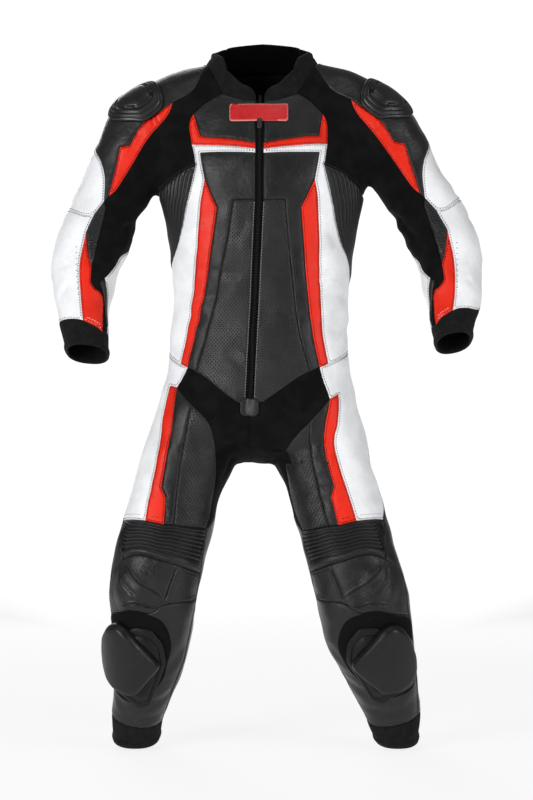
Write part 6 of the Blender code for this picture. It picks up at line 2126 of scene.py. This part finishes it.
def fore_holes(side):
    """A row of small punched holes down the outer forearm."""
    knots, count = FORE_HOLES
    line = evenly(drawn("sleeve", side, knots), count - 1)
    normal = outward(line)
    at = line + normal * (cloth_relief(line) + 0.06)[:, None]
    along = unit(np.gradient(line, axis=0))
    across = unit(np.cross(normal, along))
    turn = np.linspace(0, 2 * math.pi, 12, endpoint=False)
    ring = np.stack([np.cos(turn), np.sin(turn), 0 * turn], 1)
    shape = np.vstack([ring, ring * 0.8 + (0, 0, 1.0), ((0, 0, 0.2),)])
    faces = [(k, (k + 1) % 12, 12 + (k + 1) % 12, 12 + k) for k in range(12)]
    tops = [(12 + k, 12 + (k + 1) % 12, 24) for k in range(12)]
    every = np.array([f[:3] for f in faces] + [(f[0], f[2], f[3]) for f in faces] + tops
                     + [(0, 12 - k, 11 - k) for k in range(1, 11)])
    points, faces = repeated(shape, every, at, along, across, normal, (HOLE_SIZE, HOLE_SIZE, 0.25))
    made(f"fore_holes_{side}", points, faces, [MATERIAL["hole"]], slot="stretch_black")


# ---------------------------------------------------------------- camera, light and floor
def air_strength(nodes, links, way):
    """Strength of the air's light for a direction: brighter behind the suit."""
    parts = nodes.new("ShaderNodeSeparateXYZ")
    links.new(way, parts.inputs[0])
    span = nodes.new("ShaderNodeMapRange")
    links.new(parts.outputs["Y"], span.inputs["Value"])
    for socket, value in zip(("From Min", "From Max", "To Min", "To Max"), WORLD_LIGHT):
        span.inputs[socket].default_value = value
    return span.outputs["Result"]


def floor_paint():
    """White paint near the suit that turns to the air's own light far out, so no edge shows."""
    look = Look("studio_floor_paint", 0.9, specular=0.1)
    look.put("Base Color", look.mix(look.noise(900, 3), (0.84, 0.84, 0.84, 1), (0.86, 0.86, 0.86, 1)))
    length = look.node("ShaderNodeVectorMath", "Value", {0: look.place}, operation="LENGTH")
    way = look.node("ShaderNodeVectorMath", "Vector", {0: look.place}, operation="NORMALIZE")
    glow = look.nodes.new("ShaderNodeEmission")
    glow.inputs["Color"].default_value = AIR_COLOUR
    near = look.span(length, *FLOOR_NEAR, WORLD_LIGHT[3], 0.0)
    far = air_strength(look.nodes, look.links, way)
    look.links.new(look.maths("MAXIMUM", near, far), glow.inputs["Strength"])
    share = look.span(length, *FLOOR_FADE, FLOOR_GLOW, 1.0)
    both = look.nodes.new("ShaderNodeMixShader")
    look.links.new(share, both.inputs[0])
    look.links.new(look.shader.outputs[0], both.inputs[1])
    look.links.new(glow.outputs[0], both.inputs[2])
    out = look.nodes["Material Output"]
    look.links.new(both.outputs[0], out.inputs["Surface"])
    return look.material


def studio():
    """A pale floor, soft lights, and the camera straight in front of the suit."""
    bpy.ops.mesh.primitive_circle_add(vertices=96, radius=FLOOR_SIZE, fill_type="NGON",
                                      location=(0, 0, FLOOR_HEIGHT * MM))
    floor = bpy.context.object
    floor.name = "studio_floor"
    floor.data.materials.append(floor_paint())
    world = bpy.data.worlds.new("studio_air")
    world.use_nodes = True
    nodes, links = world.node_tree.nodes, world.node_tree.links
    back = nodes["Background"]
    way = nodes.new("ShaderNodeTexCoord").outputs["Generated"]
    links.new(air_strength(nodes, links, way), back.inputs["Strength"])
    back.inputs["Color"].default_value = AIR_COLOUR
    bpy.context.scene.world = world
    for name, place, aim, size, power in LIGHTS:
        lamp = bpy.data.lights.new(name, "AREA")
        lamp.shape, lamp.size, lamp.size_y, lamp.energy = "RECTANGLE", *size, power
        item = bpy.data.objects.new(name, lamp)
        item.location = place
        item.rotation_euler = (Vector(aim) - Vector(place)).to_track_quat("-Z", "Y").to_euler()
        bpy.context.scene.collection.objects.link(item)
    lens = bpy.data.cameras.new("front_camera")
    lens.lens, lens.sensor_width = CAMERA_LENS, 36.0
    item = bpy.data.objects.new("front_camera", lens)
    item.location = CAMERA_PLACE
    item.rotation_euler = (math.radians(90), 0, 0)
    bpy.context.scene.collection.objects.link(item)
    bpy.context.scene.camera = item
    bpy.context.scene.view_settings.view_transform = "Standard"


def write_size():
    """Brings the view layer up to date."""
    bpy.context.view_layer.update()


studio()
PATCHES = panels()
for cuff_name in CUFFS:
    for cuff_side in "rl":
        closed_band(cuff_name, cuff_side)
collar()
patches_on_front()
for own_side in "rl":
    shoulder_cup(own_side)
    loop_patch(own_side)
    backing_plate(own_side)
    knee_slider(own_side)
    fore_strip(own_side)
    fore_holes(own_side)
zip_teeth()
zip_slider()
stitches()
write_size()
